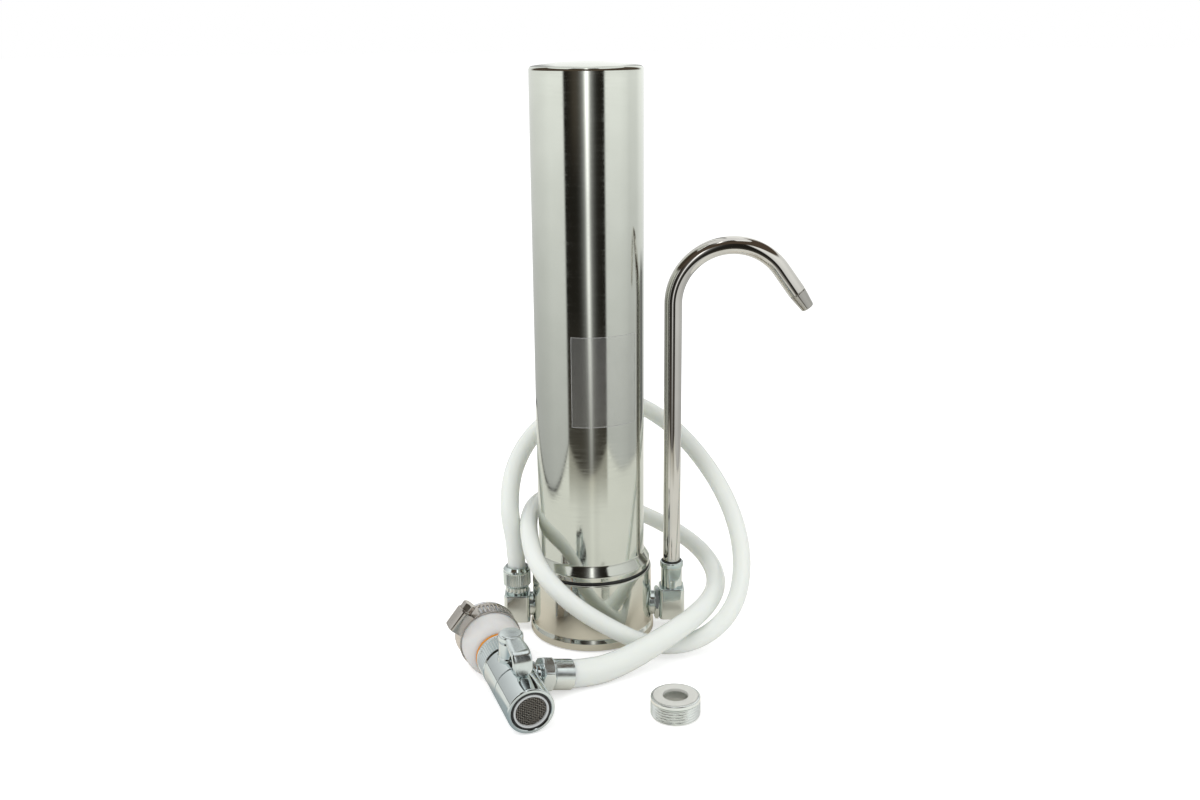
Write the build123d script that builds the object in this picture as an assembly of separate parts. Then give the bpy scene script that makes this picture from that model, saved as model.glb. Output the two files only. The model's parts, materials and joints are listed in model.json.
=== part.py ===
from build123d import *
from math import asin, cos, degrees, dist, radians, sin, tan
import os

# Countertop water purifier in millimetres: +Z up, origin at the centre of the base, on the counter.
# +X points to the spout, -Y to the viewer.

# Driving dimensions
base_r = 36.8            # base cup at its rim
base_h = 42.2            # height of the base cup's top
base_wall = 1.2
foot_step = 1.6          # how far the beaded foot stands out from the rim
tube_step = 4.4          # from the base's rim in to the tube
tube_top_z = 341.6       # height of the top edge
dome_rise = 3.0          # crown of the housing above its top edge
tube_wall = 1.0
port_z = 15.2            # height of the inlet and outlet ports
inlet_reach = 9.9        # axis of the hose nut from the base's rim
outlet_reach = 12.9      # axis of the spout from the base's rim
pipe_r = 5.25            # spout pipe, outside
pipe_wall = 0.8
hose_r = 5.4             # hose, outside
diverter_r = 13.3        # diverter body, outside
sleeve_r = 17.6          # tap sleeve, outside
tap_bore_r = 11.2        # bore of the sleeve that goes over the tap
aerator_x = -31.6        # middle of the diverter's outlet face
aerator_y = -133.4
diverter_yaw = 20.0      # degrees that the diverter's axis turns from +Y towards -X
spare_x = 45.8           # spare tap adapter, standing by itself
spare_y = -113.0
spare_r = 13.7
spare_h = 11.7

foot_r = base_r + foot_step
tube_r = base_r - tube_step
inlet_x = -(base_r + inlet_reach)
outlet_x = base_r + outlet_reach

# Clearances
fit_gap = 0.05           # pieces of one body, and running fits
move_gap = 0.3           # pieces of different bodies
seat_gap = 0.05          # flat faces that part when the housing is unscrewed
floor_gap = 0.3          # the diverter's height over the counter
overrun = 1.0            # how far cuts run past a face
up = (Align.CENTER, Align.CENTER, Align.MIN)


def disc(r, z0, z1):
    # round bar about Z between two heights
    return Pos(0, 0, z0) * Cylinder(r, z1 - z0, align=up)


def ring(r_out, r_in, z0, z1):
    # ring about Z between two heights
    return disc(r_out, z0, z1) - disc(r_in, z0 - overrun, z1 + overrun)


def turned(*points):
    # body turned about Z from a closed outline of (radius, height)
    return revolve(Plane.XZ * make_face(Polyline(*points, close=True)), Axis.Z)


def hexagon(across, z0, z1):
    # hexagonal bar about Z, by its width across flats
    flat = Pos(0, 0, z0) * RegularPolygon(across / 2, 6, major_radius=False)
    return extrude(flat, z1 - z0, dir=(0, 0, 1))


def toric(r_in, section_r, z):
    # O-ring about Z: inside radius, half thickness, height of its middle
    return Pos(0, 0, z) * Torus(r_in + section_r, section_r)


def fluted(body, r, z0, z1, count, depth):
    # grip flutes cut round a turned grip
    flute_r = depth * 1.5
    cutter = Pos(r - depth + flute_r, 0, z0) * Cylinder(flute_r, z1 - z0, align=up)
    return body - [Rot(0, 0, 360 / count * i) * cutter for i in range(count)]


# Base

foot_h = 6.0             # height of the beaded foot
foot_lift = 0.6          # the steel foot stands clear of the counter, on the rubber pad
foot_round = 1.2
rim_round = 0.9
cup_top = 1.2            # thickness of the cup's top face
cup_rim = 7.2            # width of the cup's top face
neck_hole_r = base_r - cup_rim
port_r = 6.0             # spigots of both elbows
port_clear = 0.2
plate_t = 2.0            # bottom plate
plate_z = 1.6
pad_inset = 3.2          # the rubber pad that the base stands on, in from the rim
foot_pad_r = base_r - pad_inset


wall_r = base_r + foot_step / 4     # cup's wall just over its foot


def base_form():
    # outer form of the base, filled, that the washers at the ports are shaped to
    return turned((0, base_h), (base_r, base_h), (wall_r, foot_h), (foot_r, foot_h - foot_round), (foot_r, 0), (0, 0))


def base_cup():
    shell = turned(
        (neck_hole_r, base_h), (base_r, base_h), (wall_r, foot_h), (foot_r, foot_h - foot_round),
        (foot_r, foot_lift), (wall_r - base_wall, foot_lift), (wall_r - base_wall, foot_h),
        (base_r - base_wall, base_h - cup_top), (neck_hole_r, base_h - cup_top))
    rim = shell.edges().filter_by(GeomType.CIRCLE).filter_by(lambda e: e.radius > base_r - fit_gap)
    shell = fillet(rim.sort_by(Axis.Z)[-1], rim_round)
    foot = shell.edges().filter_by(GeomType.CIRCLE).filter_by(lambda e: e.radius > foot_r - fit_gap)
    shell = fillet(foot, foot_round)
    ports = Pos(0, 0, port_z) * Rot(0, 90, 0) * Cylinder(port_r + port_clear, 3 * foot_r)
    return shell - ports


neck_gap = 1.7           # between the cup's hole and the upstand that the housing screws onto
neck_rise = 13.8         # the upstand's top over the base
neck_r = neck_hole_r - neck_gap
neck_z = base_h + neck_rise
core_room = 5.0          # between the cup's wall and the manifold inside it
core_r = base_r - base_wall - core_room
core_z0 = 4.4
socket_r = 8.0           # socket for the cartridge's spigot
water_r = 3.0            # waterways
feed_inset = 10.3        # from the upstand's side in to the inlet waterway
feed_r = neck_r - feed_inset
port_boss_r = 9.0
port_depth = 12.0        # how far a spigot goes into the manifold


def base_manifold():
    shoulder = base_h - cup_top
    port_face = base_r - base_wall - fit_gap
    body = disc(core_r, core_z0, shoulder) + disc(neck_r, shoulder, neck_z)
    bosses = Pos(0, 0, port_z) * Rot(0, 90, 0) * Cylinder(port_boss_r - fit_gap, 2 * port_face - overrun)
    body += bosses & disc(port_face, core_z0, shoulder)
    body -= disc(socket_r, port_z - water_r, neck_z + overrun)
    body -= Pos(-feed_r, 0, port_z) * Cylinder(water_r, neck_z, align=up)
    sockets = Pos(0, 0, port_z) * Rot(0, 90, 0) * Cylinder(port_r + fit_gap, 2 * port_face + overrun)
    body -= sockets - Pos(0, 0, port_z) * Rot(0, 90, 0) * Cylinder(foot_r, 2 * (port_face - port_depth))
    body -= Pos(0, 0, port_z) * Rot(0, 90, 0) * Cylinder(water_r, port_face, align=up)
    body -= [p * disc(screw_r + fit_gap, 0, plate_z + screw_len + overrun) for p in screw_places()]
    return body - Pos(-feed_r, 0, port_z) * Rot(0, -90, 0) * Cylinder(water_r, port_face - feed_r, align=up)


screw_r = 1.6
screw_head_r = 3.0
screw_head_h = 1.6
screw_len = 9.0
screw_inset = 10.0       # from the manifold's side in to the screws
screw_ring_r = core_r - screw_inset
screw_turn = 30.0        # degrees from +X to the first screw
screw_count = 3


def screw_places():
    return [Rot(0, 0, screw_turn + 360 / screw_count * i) * Pos(screw_ring_r, 0, 0) for i in range(screw_count)]


def base_plate():
    plate = disc(base_r - base_wall - move_gap, plate_z, plate_z + plate_t)
    plate += disc(core_r - base_wall, plate_z + plate_t, core_z0)
    plate -= [p * disc(screw_r + fit_gap, 0, core_z0 + overrun) for p in screw_places()]
    return plate - [p * disc(screw_head_r + fit_gap, 0, plate_z + screw_head_h) for p in screw_places()]


def base_screws():
    z0 = plate_z
    shank = disc(screw_r, z0 + screw_head_h, z0 + screw_len)
    return [p * (disc(screw_head_r, z0, z0 + screw_head_h) + shank) for p in screw_places()]


def foot_pad():
    return disc(foot_pad_r, 0, plate_z)


# Housing

gasket_h = 1.5
gasket_w = 3.6
gasket_inset = 0.3       # the gasket sits back from the flange
flange_step = 0.9        # the housing's rolled flange sits back from the base's rim
flange_r = base_r - flange_step
flange_h = 3.5
flange_round = 0.8
shoulder_h = 5.4         # cone from the flange to the tube
dome_edge = 2.4          # rounding of the top edge
housing_z = base_h + gasket_h + seat_gap


def housing_gasket():
    r_out = flange_r - gasket_inset
    return ring(r_out, r_out - gasket_w, base_h, base_h + gasket_h)


def domed(low_points, inset):
    # turned body under the housing's crown, set in from the outer face
    crown = tube_top_z + dome_rise - inset
    dome_r = (tube_r ** 2 + dome_rise ** 2) / (2 * dome_rise)
    past = crown + overrun
    body = turned((0, low_points[0][1]), *low_points, (tube_r - inset, past), (0, past))
    cap = disc(2 * tube_r, tube_top_z - 2 * overrun, past + overrun)
    return body - (cap - Pos(0, 0, crown + inset - dome_r) * Sphere(dome_r - inset))


def housing_tube():
    shoulder_z = housing_z + flange_h
    tube_z = shoulder_z + shoulder_h
    bore = tube_r - tube_wall
    shell = domed([(flange_r, housing_z), (flange_r, shoulder_z), (tube_r, tube_z)], 0)
    rings = shell.edges().filter_by(GeomType.CIRCLE)
    edge = rings.filter_by(lambda e: abs(e.radius - tube_r) < fit_gap).sort_by(Axis.Z)[-1]
    shell = fillet(edge, dome_edge)
    rings = shell.edges().filter_by(GeomType.CIRCLE)
    shell = fillet(rings.filter_by(lambda e: abs(e.radius - flange_r) < fit_gap), flange_round)
    return shell - domed([(bore, housing_z - overrun)], tube_wall)


thread_gap = 0.3         # room between the housing's thread and the manifold's
neck_ring_h = 14.0
oring_r = 0.9            # section of the housing's O-ring
oring_rise = 9.8         # its middle over the base
oring_z = base_h + oring_rise
oring_gap = 0.15


def neck_groove():
    # groove of the O-ring inside the neck ring
    half = oring_r + move_gap
    return disc(neck_r + oring_gap + 2 * oring_r + move_gap, oring_z - half, oring_z + half)


def housing_neck_ring():
    r_out = tube_r - tube_wall - fit_gap
    z1 = housing_z + neck_ring_h
    body = ring(r_out, neck_r + thread_gap, housing_z, z1)
    return body - neck_groove()


def housing_oring():
    return toric(neck_r + oring_gap, oring_r, oring_z)


# Filter cartridge

cap_room = 4.3           # water's room between a cap and the housing
cap_wall = 1.25          # skirt of a cap
cap_r = tube_r - tube_wall - cap_room
cap_h = 9.0
cap_lip = 3.0            # how far a cap's skirt goes over the wrap
cap_seat = 1.0           # the cartridge stands this far over the manifold
wrap_t = 1.2
block_r = cap_r - cap_wall - fit_gap - wrap_t
block_wall = 14.0        # carbon from its bore to its outside
block_bore_r = block_r - block_wall
core_t = 1.5
core_slots = 6
core_slot_w = 2.5
core_slot_end = 23.0     # core left whole at each end
spigot_r = 7.0
spigot_len = 22.0
spigot_ring_r = 0.95
spigot_ring_step = 6.0
pull_r = 4.0             # grip on the top cap
pull_h = 7.0
head_room = 16.0         # from the grip's top to the tube's top edge
cart_z = neck_z + cap_seat
block_z = cart_z + cap_h - cap_lip
block_h = tube_top_z - head_room - pull_h - (cap_h - cap_lip) - block_z


def cartridge_cap(z_face, z_block, skirt):
    # end cap: a plate from z_face to z_block and a skirt round the wrap
    body = disc(cap_r, min(z_face, skirt), max(z_face, skirt))
    return body - disc(block_r + wrap_t + fit_gap, min(z_block, skirt), max(z_block, skirt))


def spigot_rings():
    z0 = cart_z - spigot_len + spigot_ring_step
    return [z0, z0 + spigot_ring_step]


def cartridge_bottom_cap():
    body = cartridge_cap(cart_z, block_z, block_z + cap_lip)
    body += disc(spigot_r, cart_z - spigot_len, cart_z)
    for z in spigot_rings():
        body -= toric(spigot_r - spigot_ring_r, spigot_ring_r + fit_gap, z)
    return body - disc(spigot_r - 2 * core_t, cart_z - spigot_len - overrun, block_z + overrun)


def cartridge_top_cap():
    top = block_z + block_h
    return cartridge_cap(top + cap_h - cap_lip, top, top - cap_lip) + disc(pull_r, top, top + cap_h - cap_lip + pull_h)


def cartridge_orings():
    return [toric(spigot_r - spigot_ring_r, spigot_ring_r, z) for z in spigot_rings()]


def filter_block():
    return ring(block_r, block_bore_r, block_z, block_z + block_h)


def filter_wrap():
    return ring(block_r + wrap_t, block_r, block_z, block_z + block_h)


def filter_core():
    r = block_bore_r - fit_gap
    tube = ring(r, r - core_t, block_z, block_z + block_h)
    slot = Pos(r, 0, block_z + block_h / 2) * Box(2 * r, core_slot_w, block_h - 2 * core_slot_end)
    return tube - [Rot(0, 0, 360 / core_slots * i) * slot for i in range(core_slots)]


# Inlet elbow, on the left

inlet_block = 16.0       # square section of the elbow's block
inlet_block_z0 = 5.2
inlet_block_h = 17.9
block_round = 2.6
block_edge = 0.8
inlet_neck_r = 5.7
inlet_neck_z = 35.6      # the neck's top, where the hose ends
inlet_collar_r = 7.2     # toothed collar under the nut
inlet_collar_h = 3.0
inlet_collar_gap = 1.4
inlet_teeth = 14
tooth_depth = 0.7
nut_r = 8.5
nut_z0 = 28.6
nut_h = 12.2
nut_edge = 1.2
nut_band = 2.6           # plain band over the knurl
nut_flutes = 30
flute_depth = 0.45
olive_t = 1.3            # thickness and height of a hose olive
olive_h = 3.0
washer_t = 4.0           # thickest place of a port's saddle washer
washer_r = 7.4


def elbow_block(x, width, z0, height):
    body = Pos(x, 0, z0) * Box(width, width, height, align=up)
    body = fillet(body.edges().filter_by(Axis.Z), block_round)
    flat = body.faces().sort_by(Axis.Z)
    return chamfer(flat[0].edges() + flat[-1].edges(), block_edge)


def spigot(x_face, side):
    # threaded stub from an elbow's face into the manifold, on the side -1 or +1
    inner = base_r - base_wall - fit_gap - port_depth
    length = abs(x_face) - inner
    return Pos(side * (inner + length / 2), 0, port_z) * Rot(0, 90, 0) * Cylinder(port_r, length)


def inlet_elbow():
    body = elbow_block(inlet_x, inlet_block, inlet_block_z0, inlet_block_h)
    top = inlet_block_z0 + inlet_block_h
    body += spigot(inlet_x + inlet_block / 2, -1)
    body += Pos(inlet_x, 0, 0) * disc(inlet_neck_r, top, inlet_neck_z)
    collar = disc(inlet_collar_r, top + inlet_collar_gap, top + inlet_collar_gap + inlet_collar_h)
    collar = fluted(collar, inlet_collar_r, top, inlet_neck_z, inlet_teeth, tooth_depth)
    body += Pos(inlet_x, 0, 0) * collar
    body -= Pos(inlet_x, 0, 0) * disc(water_r, port_z, inlet_neck_z + overrun)
    return body - Pos(inlet_x, 0, port_z) * Rot(0, 90, 0) * Cylinder(water_r, base_r, align=up)


def port_washer(x_face, side):
    # saddle washer from a port's outer face to the base, shaped to the base's form
    washer = ring(washer_r, port_r + fit_gap, abs(x_face) - washer_t, abs(x_face))
    return Pos(0, 0, port_z) * Rot(0, 90 * side, 0) * washer - base_form()


def inlet_washer():
    return port_washer(inlet_x + inlet_block / 2, -1)


def inlet_nut():
    top = nut_z0 + nut_h
    body = disc(nut_r, nut_z0, top)
    body = chamfer(body.edges().filter_by(GeomType.CIRCLE), nut_edge)
    body = fluted(body, nut_r, nut_z0, top - nut_band, nut_flutes, flute_depth)
    body -= disc(inlet_neck_r + fit_gap, nut_z0 - overrun, inlet_neck_z)
    body -= disc(hose_r + fit_gap + olive_t + fit_gap, inlet_neck_z, inlet_neck_z + olive_h)
    return Pos(inlet_x, 0, 0) * (body - disc(hose_r + fit_gap, inlet_neck_z, top + overrun))


def hose_olive(z0):
    return ring(hose_r + fit_gap + olive_t, hose_r + fit_gap, z0 + fit_gap, z0 + olive_h - fit_gap)


def inlet_olive():
    return Pos(inlet_x, 0, 0) * hose_olive(inlet_neck_z)


# Outlet elbow and spout, on the right

outlet_block = 15.5
outlet_block_z0 = 6.3
outlet_block_h = 20.3
collar_r = 6.5           # upright collar of the outlet elbow
collar_z = 43.4          # its top
bead_r = 7.2             # bead round the collar's mouth
bead_h = 4.0
bead_round = 1.4
locknut_across = 18.0
locknut_h = 3.0
pipe_foot_z = 18.2       # lower end of the pipe in its socket
spout_bend_z = 205.4     # where the swan neck starts to bend
spout_bend_r = 34.7
spout_turn = 144.5
spout_straight = 16.6    # straight run from the bend to the nozzle
nozzle_len = 11.6
nozzle_r = 3.9
spout_ring_r = 0.55      # section of the spout's O-rings
spout_ring_zs = (22.2, 26.2)
clip_z = 31.2
clip_h = 1.0
clip_t = 0.5


def outlet_elbow():
    body = elbow_block(outlet_x, outlet_block, outlet_block_z0, outlet_block_h)
    body += spigot(outlet_x - outlet_block / 2, 1)
    neck = disc(collar_r, outlet_block_z0 + outlet_block_h, collar_z)
    bead = disc(bead_r, collar_z - bead_h, collar_z)
    neck += fillet(bead.edges().filter_by(GeomType.CIRCLE), bead_round)
    body += Pos(outlet_x, 0, 0) * neck
    socket = disc(pipe_r + fit_gap, pipe_foot_z - fit_gap, collar_z + overrun) + disc(water_r, port_z, pipe_foot_z)
    for z in spout_ring_zs:
        socket += toric(pipe_r - spout_ring_r, spout_ring_r + fit_gap, z)
    socket += disc(pipe_r + clip_t, clip_z - clip_h, clip_z + clip_h)
    body -= Pos(outlet_x, 0, 0) * socket
    return body - Pos(0, 0, port_z) * Rot(0, 90, 0) * Cylinder(water_r, outlet_x, align=up)


def outlet_locknut():
    x1 = outlet_x - outlet_block / 2
    nut = hexagon(locknut_across, x1 - locknut_h, x1) - disc(port_r + fit_gap, 0, outlet_x)
    return Pos(0, 0, port_z) * Rot(0, 90, 0) * Rot(0, 0, 30) * nut


def outlet_washer():
    return port_washer(outlet_x - outlet_block / 2 - locknut_h, 1)


def spout_path():
    rise = Line((outlet_x, pipe_foot_z), (outlet_x, spout_bend_z))
    bend = JernArc(rise @ 1, rise % 1, spout_bend_r, -spout_turn)
    run = Line(bend @ 1, bend @ 1 + (bend % 1) * spout_straight)
    return Plane.XZ * (rise + bend + run)


def spout_pipe():
    path = spout_path()
    start = Plane(origin=path @ 0, z_dir=path % 0)
    pipe = sweep(start * (Circle(pipe_r) - Circle(pipe_r - pipe_wall)), path=path)
    for z in spout_ring_zs:
        pipe -= Pos(outlet_x, 0, 0) * toric(pipe_r - spout_ring_r, spout_ring_r + fit_gap, z)
    groove = ring(pipe_r + overrun, pipe_r - clip_t, clip_z - clip_h / 2, clip_z + clip_h / 2)
    return pipe - Pos(outlet_x, 0, 0) * groove


def spout_nozzle():
    path = spout_path()
    wall = pipe_wall
    cone = turned((pipe_r, 0), (nozzle_r, nozzle_len), (nozzle_r - wall, nozzle_len), (pipe_r - wall, 0))
    return Plane(origin=path @ 1, z_dir=path % 1).location * cone


def spout_orings():
    return [Pos(outlet_x, 0, 0) * toric(pipe_r - spout_ring_r, spout_ring_r, z) for z in spout_ring_zs]


def spout_clip():
    half = clip_h / 2 - fit_gap
    r_in = pipe_r - clip_t + fit_gap
    return Pos(outlet_x, 0, 0) * ring(pipe_r + clip_t / 2, r_in, clip_z - half, clip_z + half)


# Diverter, lying on the counter. Its own frame: Z from the outlet face to the tap, Y up, X to the left.

body_s = 46.4            # rear shoulder of the diverter's body
waist_s = 25.0           # groove round the body
waist_w = 0.9
waist_depth = 0.7
face_round = 1.4
collar_s0 = 47.2         # swivel collar
collar_s1 = 62.0
collar_flutes = 40
collar_grip_r = 13.5
collar_lip = 2.8         # inner lip that holds the body's flange
tail_r = 9.5             # body's tail through the collar's lip
tail_flange_r = 11.3
tail_flange_s = 50.3
tail_end_s = 52.6
tail_washer_t = 2.0
thread_r = 11.3          # threaded tap insert in the collar
collar_bore_r = 11.6
sleeve_s0 = 63.7         # tap sleeve, from its nose to its mouth
sleeve_s1 = 96.0
nose_r = 12.6
nose_len = 7.5
nose_round = 5.0
sleeve_floor_s = 75.0
mouth_edge = 1.0
insert_r = 9.0
insert_flange_h = 2.0
tap_washer_t = 2.4
seat_step = 0.3          # the washer's seat is this much narrower than the tap's bore
bore_r = 5.5             # waterway along the body
oring_s = 62.85          # orange O-ring in front of the collar
nose_ring_r = 0.8
band_s0 = 80.0           # clamp band
band_s1 = 92.0
band_t = 0.8
clamp_r = sleeve_r + fit_gap + band_t
diverter_tilt = degrees(asin((clamp_r - diverter_r) / ((band_s0 + band_s1) / 2)))


def diverter_frame():
    yaw = radians(diverter_yaw)
    tilt = radians(diverter_tilt)
    axis = (-sin(yaw) * cos(tilt), cos(yaw) * cos(tilt), sin(tilt))
    face = (aerator_x, aerator_y, diverter_r + floor_gap)
    return Plane(origin=face, x_dir=(-cos(yaw), -sin(yaw), 0), z_dir=axis).location


outlet_s = 40.0          # side outlet of the diverter
outlet_drop = 10.8       # degrees that the side outlet points below level
outlet_neck_r = 6.2
outlet_neck_k = 17.0     # along the outlet: end of the neck, of the stub and of the nut
outlet_stub_r = 4.7
outlet_end_k = 26.0
outlet_nut_k = 36.0
hexnut_across = 18.4
hexnut_h = 7.0
hexnut_r = 8.7
hexnut_edge = 0.8


def outlet_frame():
    drop = radians(outlet_drop)
    return Plane(origin=(0, 0, outlet_s), x_dir=(0, 0, 1), z_dir=(-cos(drop), -sin(drop), 0)).location


lever_s = 38.0           # lever boss, on top of the body
boss_r = 6.8
boss_h = 23.4            # boss top over the body's axis
spindle_r = 4.0
spindle_low = -7.0
spindle_ring_r = 0.6
spindle_ring_h = 19.5
spindle_top = 25.6
hub_r = 7.0
hub_h = 3.6
hub_round = 0.8
arm_reach = 23.0         # lever's end from the spindle
arm_w = 11.0
arm_drop = 9.0           # the arm's end hangs this far under the hub
arm_slope = 1.2
arm_tip = 6.0            # thickness of the hanging end along the arm
arm_round = 3.6


def lever_frame():
    return Plane(origin=(0, 0, lever_s), x_dir=(0, 0, -1), z_dir=(0, 1, 0)).location


shell_r = 11.2           # aerator
shell_in = 9.85
shell_depth = 12.0
shell_inset = 0.7
grey_in = 8.7
grey_h = 3.0
screen_s = 1.2
screen_t = 0.5
flow_s = 5.0
flow_h = 5.0
flow_holes = 12
flow_hole_r = 0.9
flow_ring_r = 6.6
cavity_s = 13.6
aerator_washer_in = 6.5


def diverter_body():
    body = disc(diverter_r, 0, body_s)
    body = fillet(body.edges().filter_by(GeomType.CIRCLE).sort_by(Axis.Z)[0], face_round)
    body += disc(tail_r, body_s, tail_end_s) + disc(tail_flange_r, tail_flange_s, tail_end_s)
    body += lever_frame() * disc(boss_r, 0, boss_h)
    body += outlet_frame() * (disc(outlet_neck_r, 0, outlet_neck_k) + disc(outlet_stub_r, 0, outlet_end_k))
    waist = ring(diverter_r + overrun, diverter_r - waist_depth, waist_s - waist_w / 2, waist_s + waist_w / 2)
    body -= waist
    body -= disc(shell_r + fit_gap, -overrun, cavity_s) + disc(bore_r, 0, tail_end_s + overrun)
    body -= outlet_frame() * disc(water_r, 0, outlet_end_k + overrun)
    return body - lever_frame() * disc(spindle_r + fit_gap, spindle_low - fit_gap, boss_h + overrun)


def valve_spindle():
    # plug with a cross waterway, its stem up through the boss to the lever
    body = disc(spindle_r, spindle_low, spindle_top)
    body -= Rot(0, 90, 0) * Cylinder(water_r, 4 * spindle_r)
    half = spindle_ring_r + fit_gap
    groove_r = spindle_r - 2 * half
    return lever_frame() * (body - ring(boss_r, groove_r, spindle_ring_h - half, spindle_ring_h + half))


def spindle_oring():
    return lever_frame() * toric(spindle_r - 2 * spindle_ring_r, spindle_ring_r, spindle_ring_h)


def diverter_lever():
    low = boss_h + move_gap
    top = low + hub_h
    hub = disc(hub_r, low, top)
    hub = fillet(hub.edges().filter_by(GeomType.CIRCLE).sort_by(Axis.Z)[-1], hub_round)
    side = make_face(Polyline(
        (0, low), (0, top), (arm_reach, top - arm_slope), (arm_reach, low - arm_drop),
        (arm_reach - arm_tip, low - arm_drop), (hub_r, low), close=True))
    arm = extrude(Plane.XZ * side, arm_w / 2, both=True)
    outer = arm.edges().filter_by(lambda e: e.center().X > hub_r + arm_tip)
    hanging = outer.filter_by(lambda e: e.center().Z < low - arm_drop / 3)
    arm = fillet(hanging.filter_by(Axis.Z).group_by(Axis.X)[-1], arm_round)
    ends = arm.edges().filter_by(lambda e: e.center().Z < low - arm_drop + fit_gap)
    arm = chamfer(ends, arm_slope)
    return lever_frame() * (hub + arm - disc(spindle_r + fit_gap, low - overrun, spindle_top + fit_gap))


def swivel_collar():
    body = disc(collar_grip_r, collar_s0, collar_s1)
    body = chamfer(body.edges().filter_by(GeomType.CIRCLE), waist_depth)
    body = fluted(body, collar_grip_r, collar_s0 + waist_w, collar_s1 - waist_w, collar_flutes, flute_depth)
    body -= disc(tail_r + 2 * fit_gap, collar_s0 - overrun, collar_s1)
    return body - disc(collar_bore_r, collar_s0 + collar_lip, collar_s1 + overrun)


def tail_washer():
    return ring(thread_r - fit_gap, bore_r, tail_end_s, tail_end_s + tail_washer_t)


def tap_insert():
    floor = sleeve_floor_s
    body = disc(thread_r, tail_end_s + tail_washer_t, collar_s1 - move_gap)
    body += disc(insert_r, collar_s1 - move_gap, floor)
    body += disc(tap_bore_r - seat_step - fit_gap, floor, floor + insert_flange_h)
    return body - disc(bore_r, 0, sleeve_s1)


def tap_washer():
    s0 = sleeve_floor_s + insert_flange_h
    return ring(tap_bore_r - seat_step - fit_gap, bore_r, s0, s0 + tap_washer_t)


def nose_oring():
    return toric(nose_r - 2 * nose_ring_r, nose_ring_r, oring_s)


def tap_sleeve():
    nose_s = sleeve_s0 + nose_len
    body = turned((0, sleeve_s0), (nose_r, sleeve_s0), (sleeve_r, nose_s), (sleeve_r, sleeve_s1), (0, sleeve_s1))
    rings = body.edges().filter_by(GeomType.CIRCLE).sort_by(Axis.Z)
    body = chamfer(rings[-1], mouth_edge)
    shoulder = body.edges().filter_by(GeomType.CIRCLE).filter_by(lambda e: abs(e.center().Z - nose_s) < fit_gap)
    body = fillet(shoulder, nose_round)
    bore_s = sleeve_floor_s + insert_flange_h + tap_washer_t
    body -= disc(insert_r + fit_gap, sleeve_s0 - overrun, sleeve_floor_s + overrun)
    body -= disc(tap_bore_r - seat_step, sleeve_floor_s, bore_s + overrun)
    return body - disc(tap_bore_r, bore_s, sleeve_s1 + overrun)


worm_turn = 52.0         # degrees from the top to the screw housing, to the left
worm_len = 13.0          # screw housing along the screw
worm_h = 7.4             # its height over the band
worm_r = 2.7             # screw
worm_lift = 3.7          # the screw's axis over the band
worm_round = 1.6
head_across = 7.0
head_len = 5.5
head_gap = 0.4
slot_count = 9
slot_w = 1.3
slot_len = 7.5
slot_step = 8.0          # degrees between slots
slot_first = -14.0       # first slot, from the top


def worm_frame():
    turn = radians(worm_turn)
    mid = (band_s0 + band_s1) / 2
    origin = (clamp_r * sin(turn), clamp_r * cos(turn), mid)
    return Plane(origin=origin, x_dir=(-cos(turn), sin(turn), 0), z_dir=(sin(turn), cos(turn), 0)).location


def clamp_band():
    mid = (band_s0 + band_s1) / 2
    body = ring(clamp_r, sleeve_r + fit_gap, band_s0, band_s1)
    slot = Pos(0, clamp_r, mid) * Box(slot_w, 4 * band_t, slot_len)
    return body - [Rot(0, 0, slot_first + slot_step * i) * slot for i in range(slot_count)]


def clamp_housing():
    width = band_s1 - band_s0
    body = Pos(0, 0, -band_t) * Box(worm_len, width, worm_h + band_t, align=up)
    crown = body.faces().sort_by(Axis.Z)[-1].edges().filter_by(Axis.X)
    body = fillet(crown, worm_round)
    body -= Pos(0, 0, worm_lift) * Rot(0, 90, 0) * Cylinder(worm_r + 2 * fit_gap, 2 * worm_len)
    return worm_frame() * body - disc(clamp_r + fit_gap, 0, sleeve_s1 + overrun)


def clamp_screw():
    shank = worm_len + head_gap
    body = disc(worm_r, -worm_len / 2, shank / 2 + head_gap)
    body += hexagon(head_across, shank / 2, shank / 2 + head_len)
    slot_z = shank / 2 + head_len
    body -= Pos(0, 0, slot_z) * Box(head_across * 2, slot_w, 2 * slot_w)
    return worm_frame() * Pos(0, 0, worm_lift) * Rot(0, 90, 0) * body


def diverter_nut():
    k1 = outlet_neck_k + fit_gap
    k2 = k1 + hexnut_h
    body = hexagon(hexnut_across, k1, k2) & turned(
        (0, k1), (hexnut_across / 2, k1), (hexnut_across, k1 + hexnut_across / 4), (hexnut_across, k2), (0, k2))
    round_part = disc(hexnut_r, k2, outlet_nut_k)
    body += chamfer(round_part.edges().filter_by(GeomType.CIRCLE).sort_by(Axis.Z)[-1], hexnut_edge)
    body -= disc(outlet_stub_r + fit_gap, 0, outlet_end_k)
    body -= disc(hose_r + fit_gap + olive_t + fit_gap, outlet_end_k, outlet_end_k + olive_h)
    return outlet_frame() * (body - disc(hose_r + fit_gap, outlet_end_k, outlet_nut_k + overrun))


def diverter_olive():
    return outlet_frame() * hose_olive(outlet_end_k)


def aerator_shell():
    return ring(shell_r, shell_in, shell_inset, shell_depth)


def aerator_ring():
    return ring(shell_in - fit_gap, grey_in, 0, grey_h)


def aerator_screen():
    return disc(grey_in - fit_gap, screen_s, screen_s + screen_t)


def aerator_insert():
    body = disc(shell_in - fit_gap, flow_s, flow_s + flow_h)
    hole = Pos(flow_ring_r, 0, 0) * disc(flow_hole_r, 0, cavity_s)
    return body - [Rot(0, 0, 360 / flow_holes * i) * hole for i in range(flow_holes)]


def aerator_washer():
    return ring(shell_r, aerator_washer_in, shell_depth, cavity_s)


# Hose: from the inlet nut up behind the tube, down on the right, round the front of the base, behind the
# tube again and over itself to the diverter. The first and last points follow the two nuts.

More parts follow.
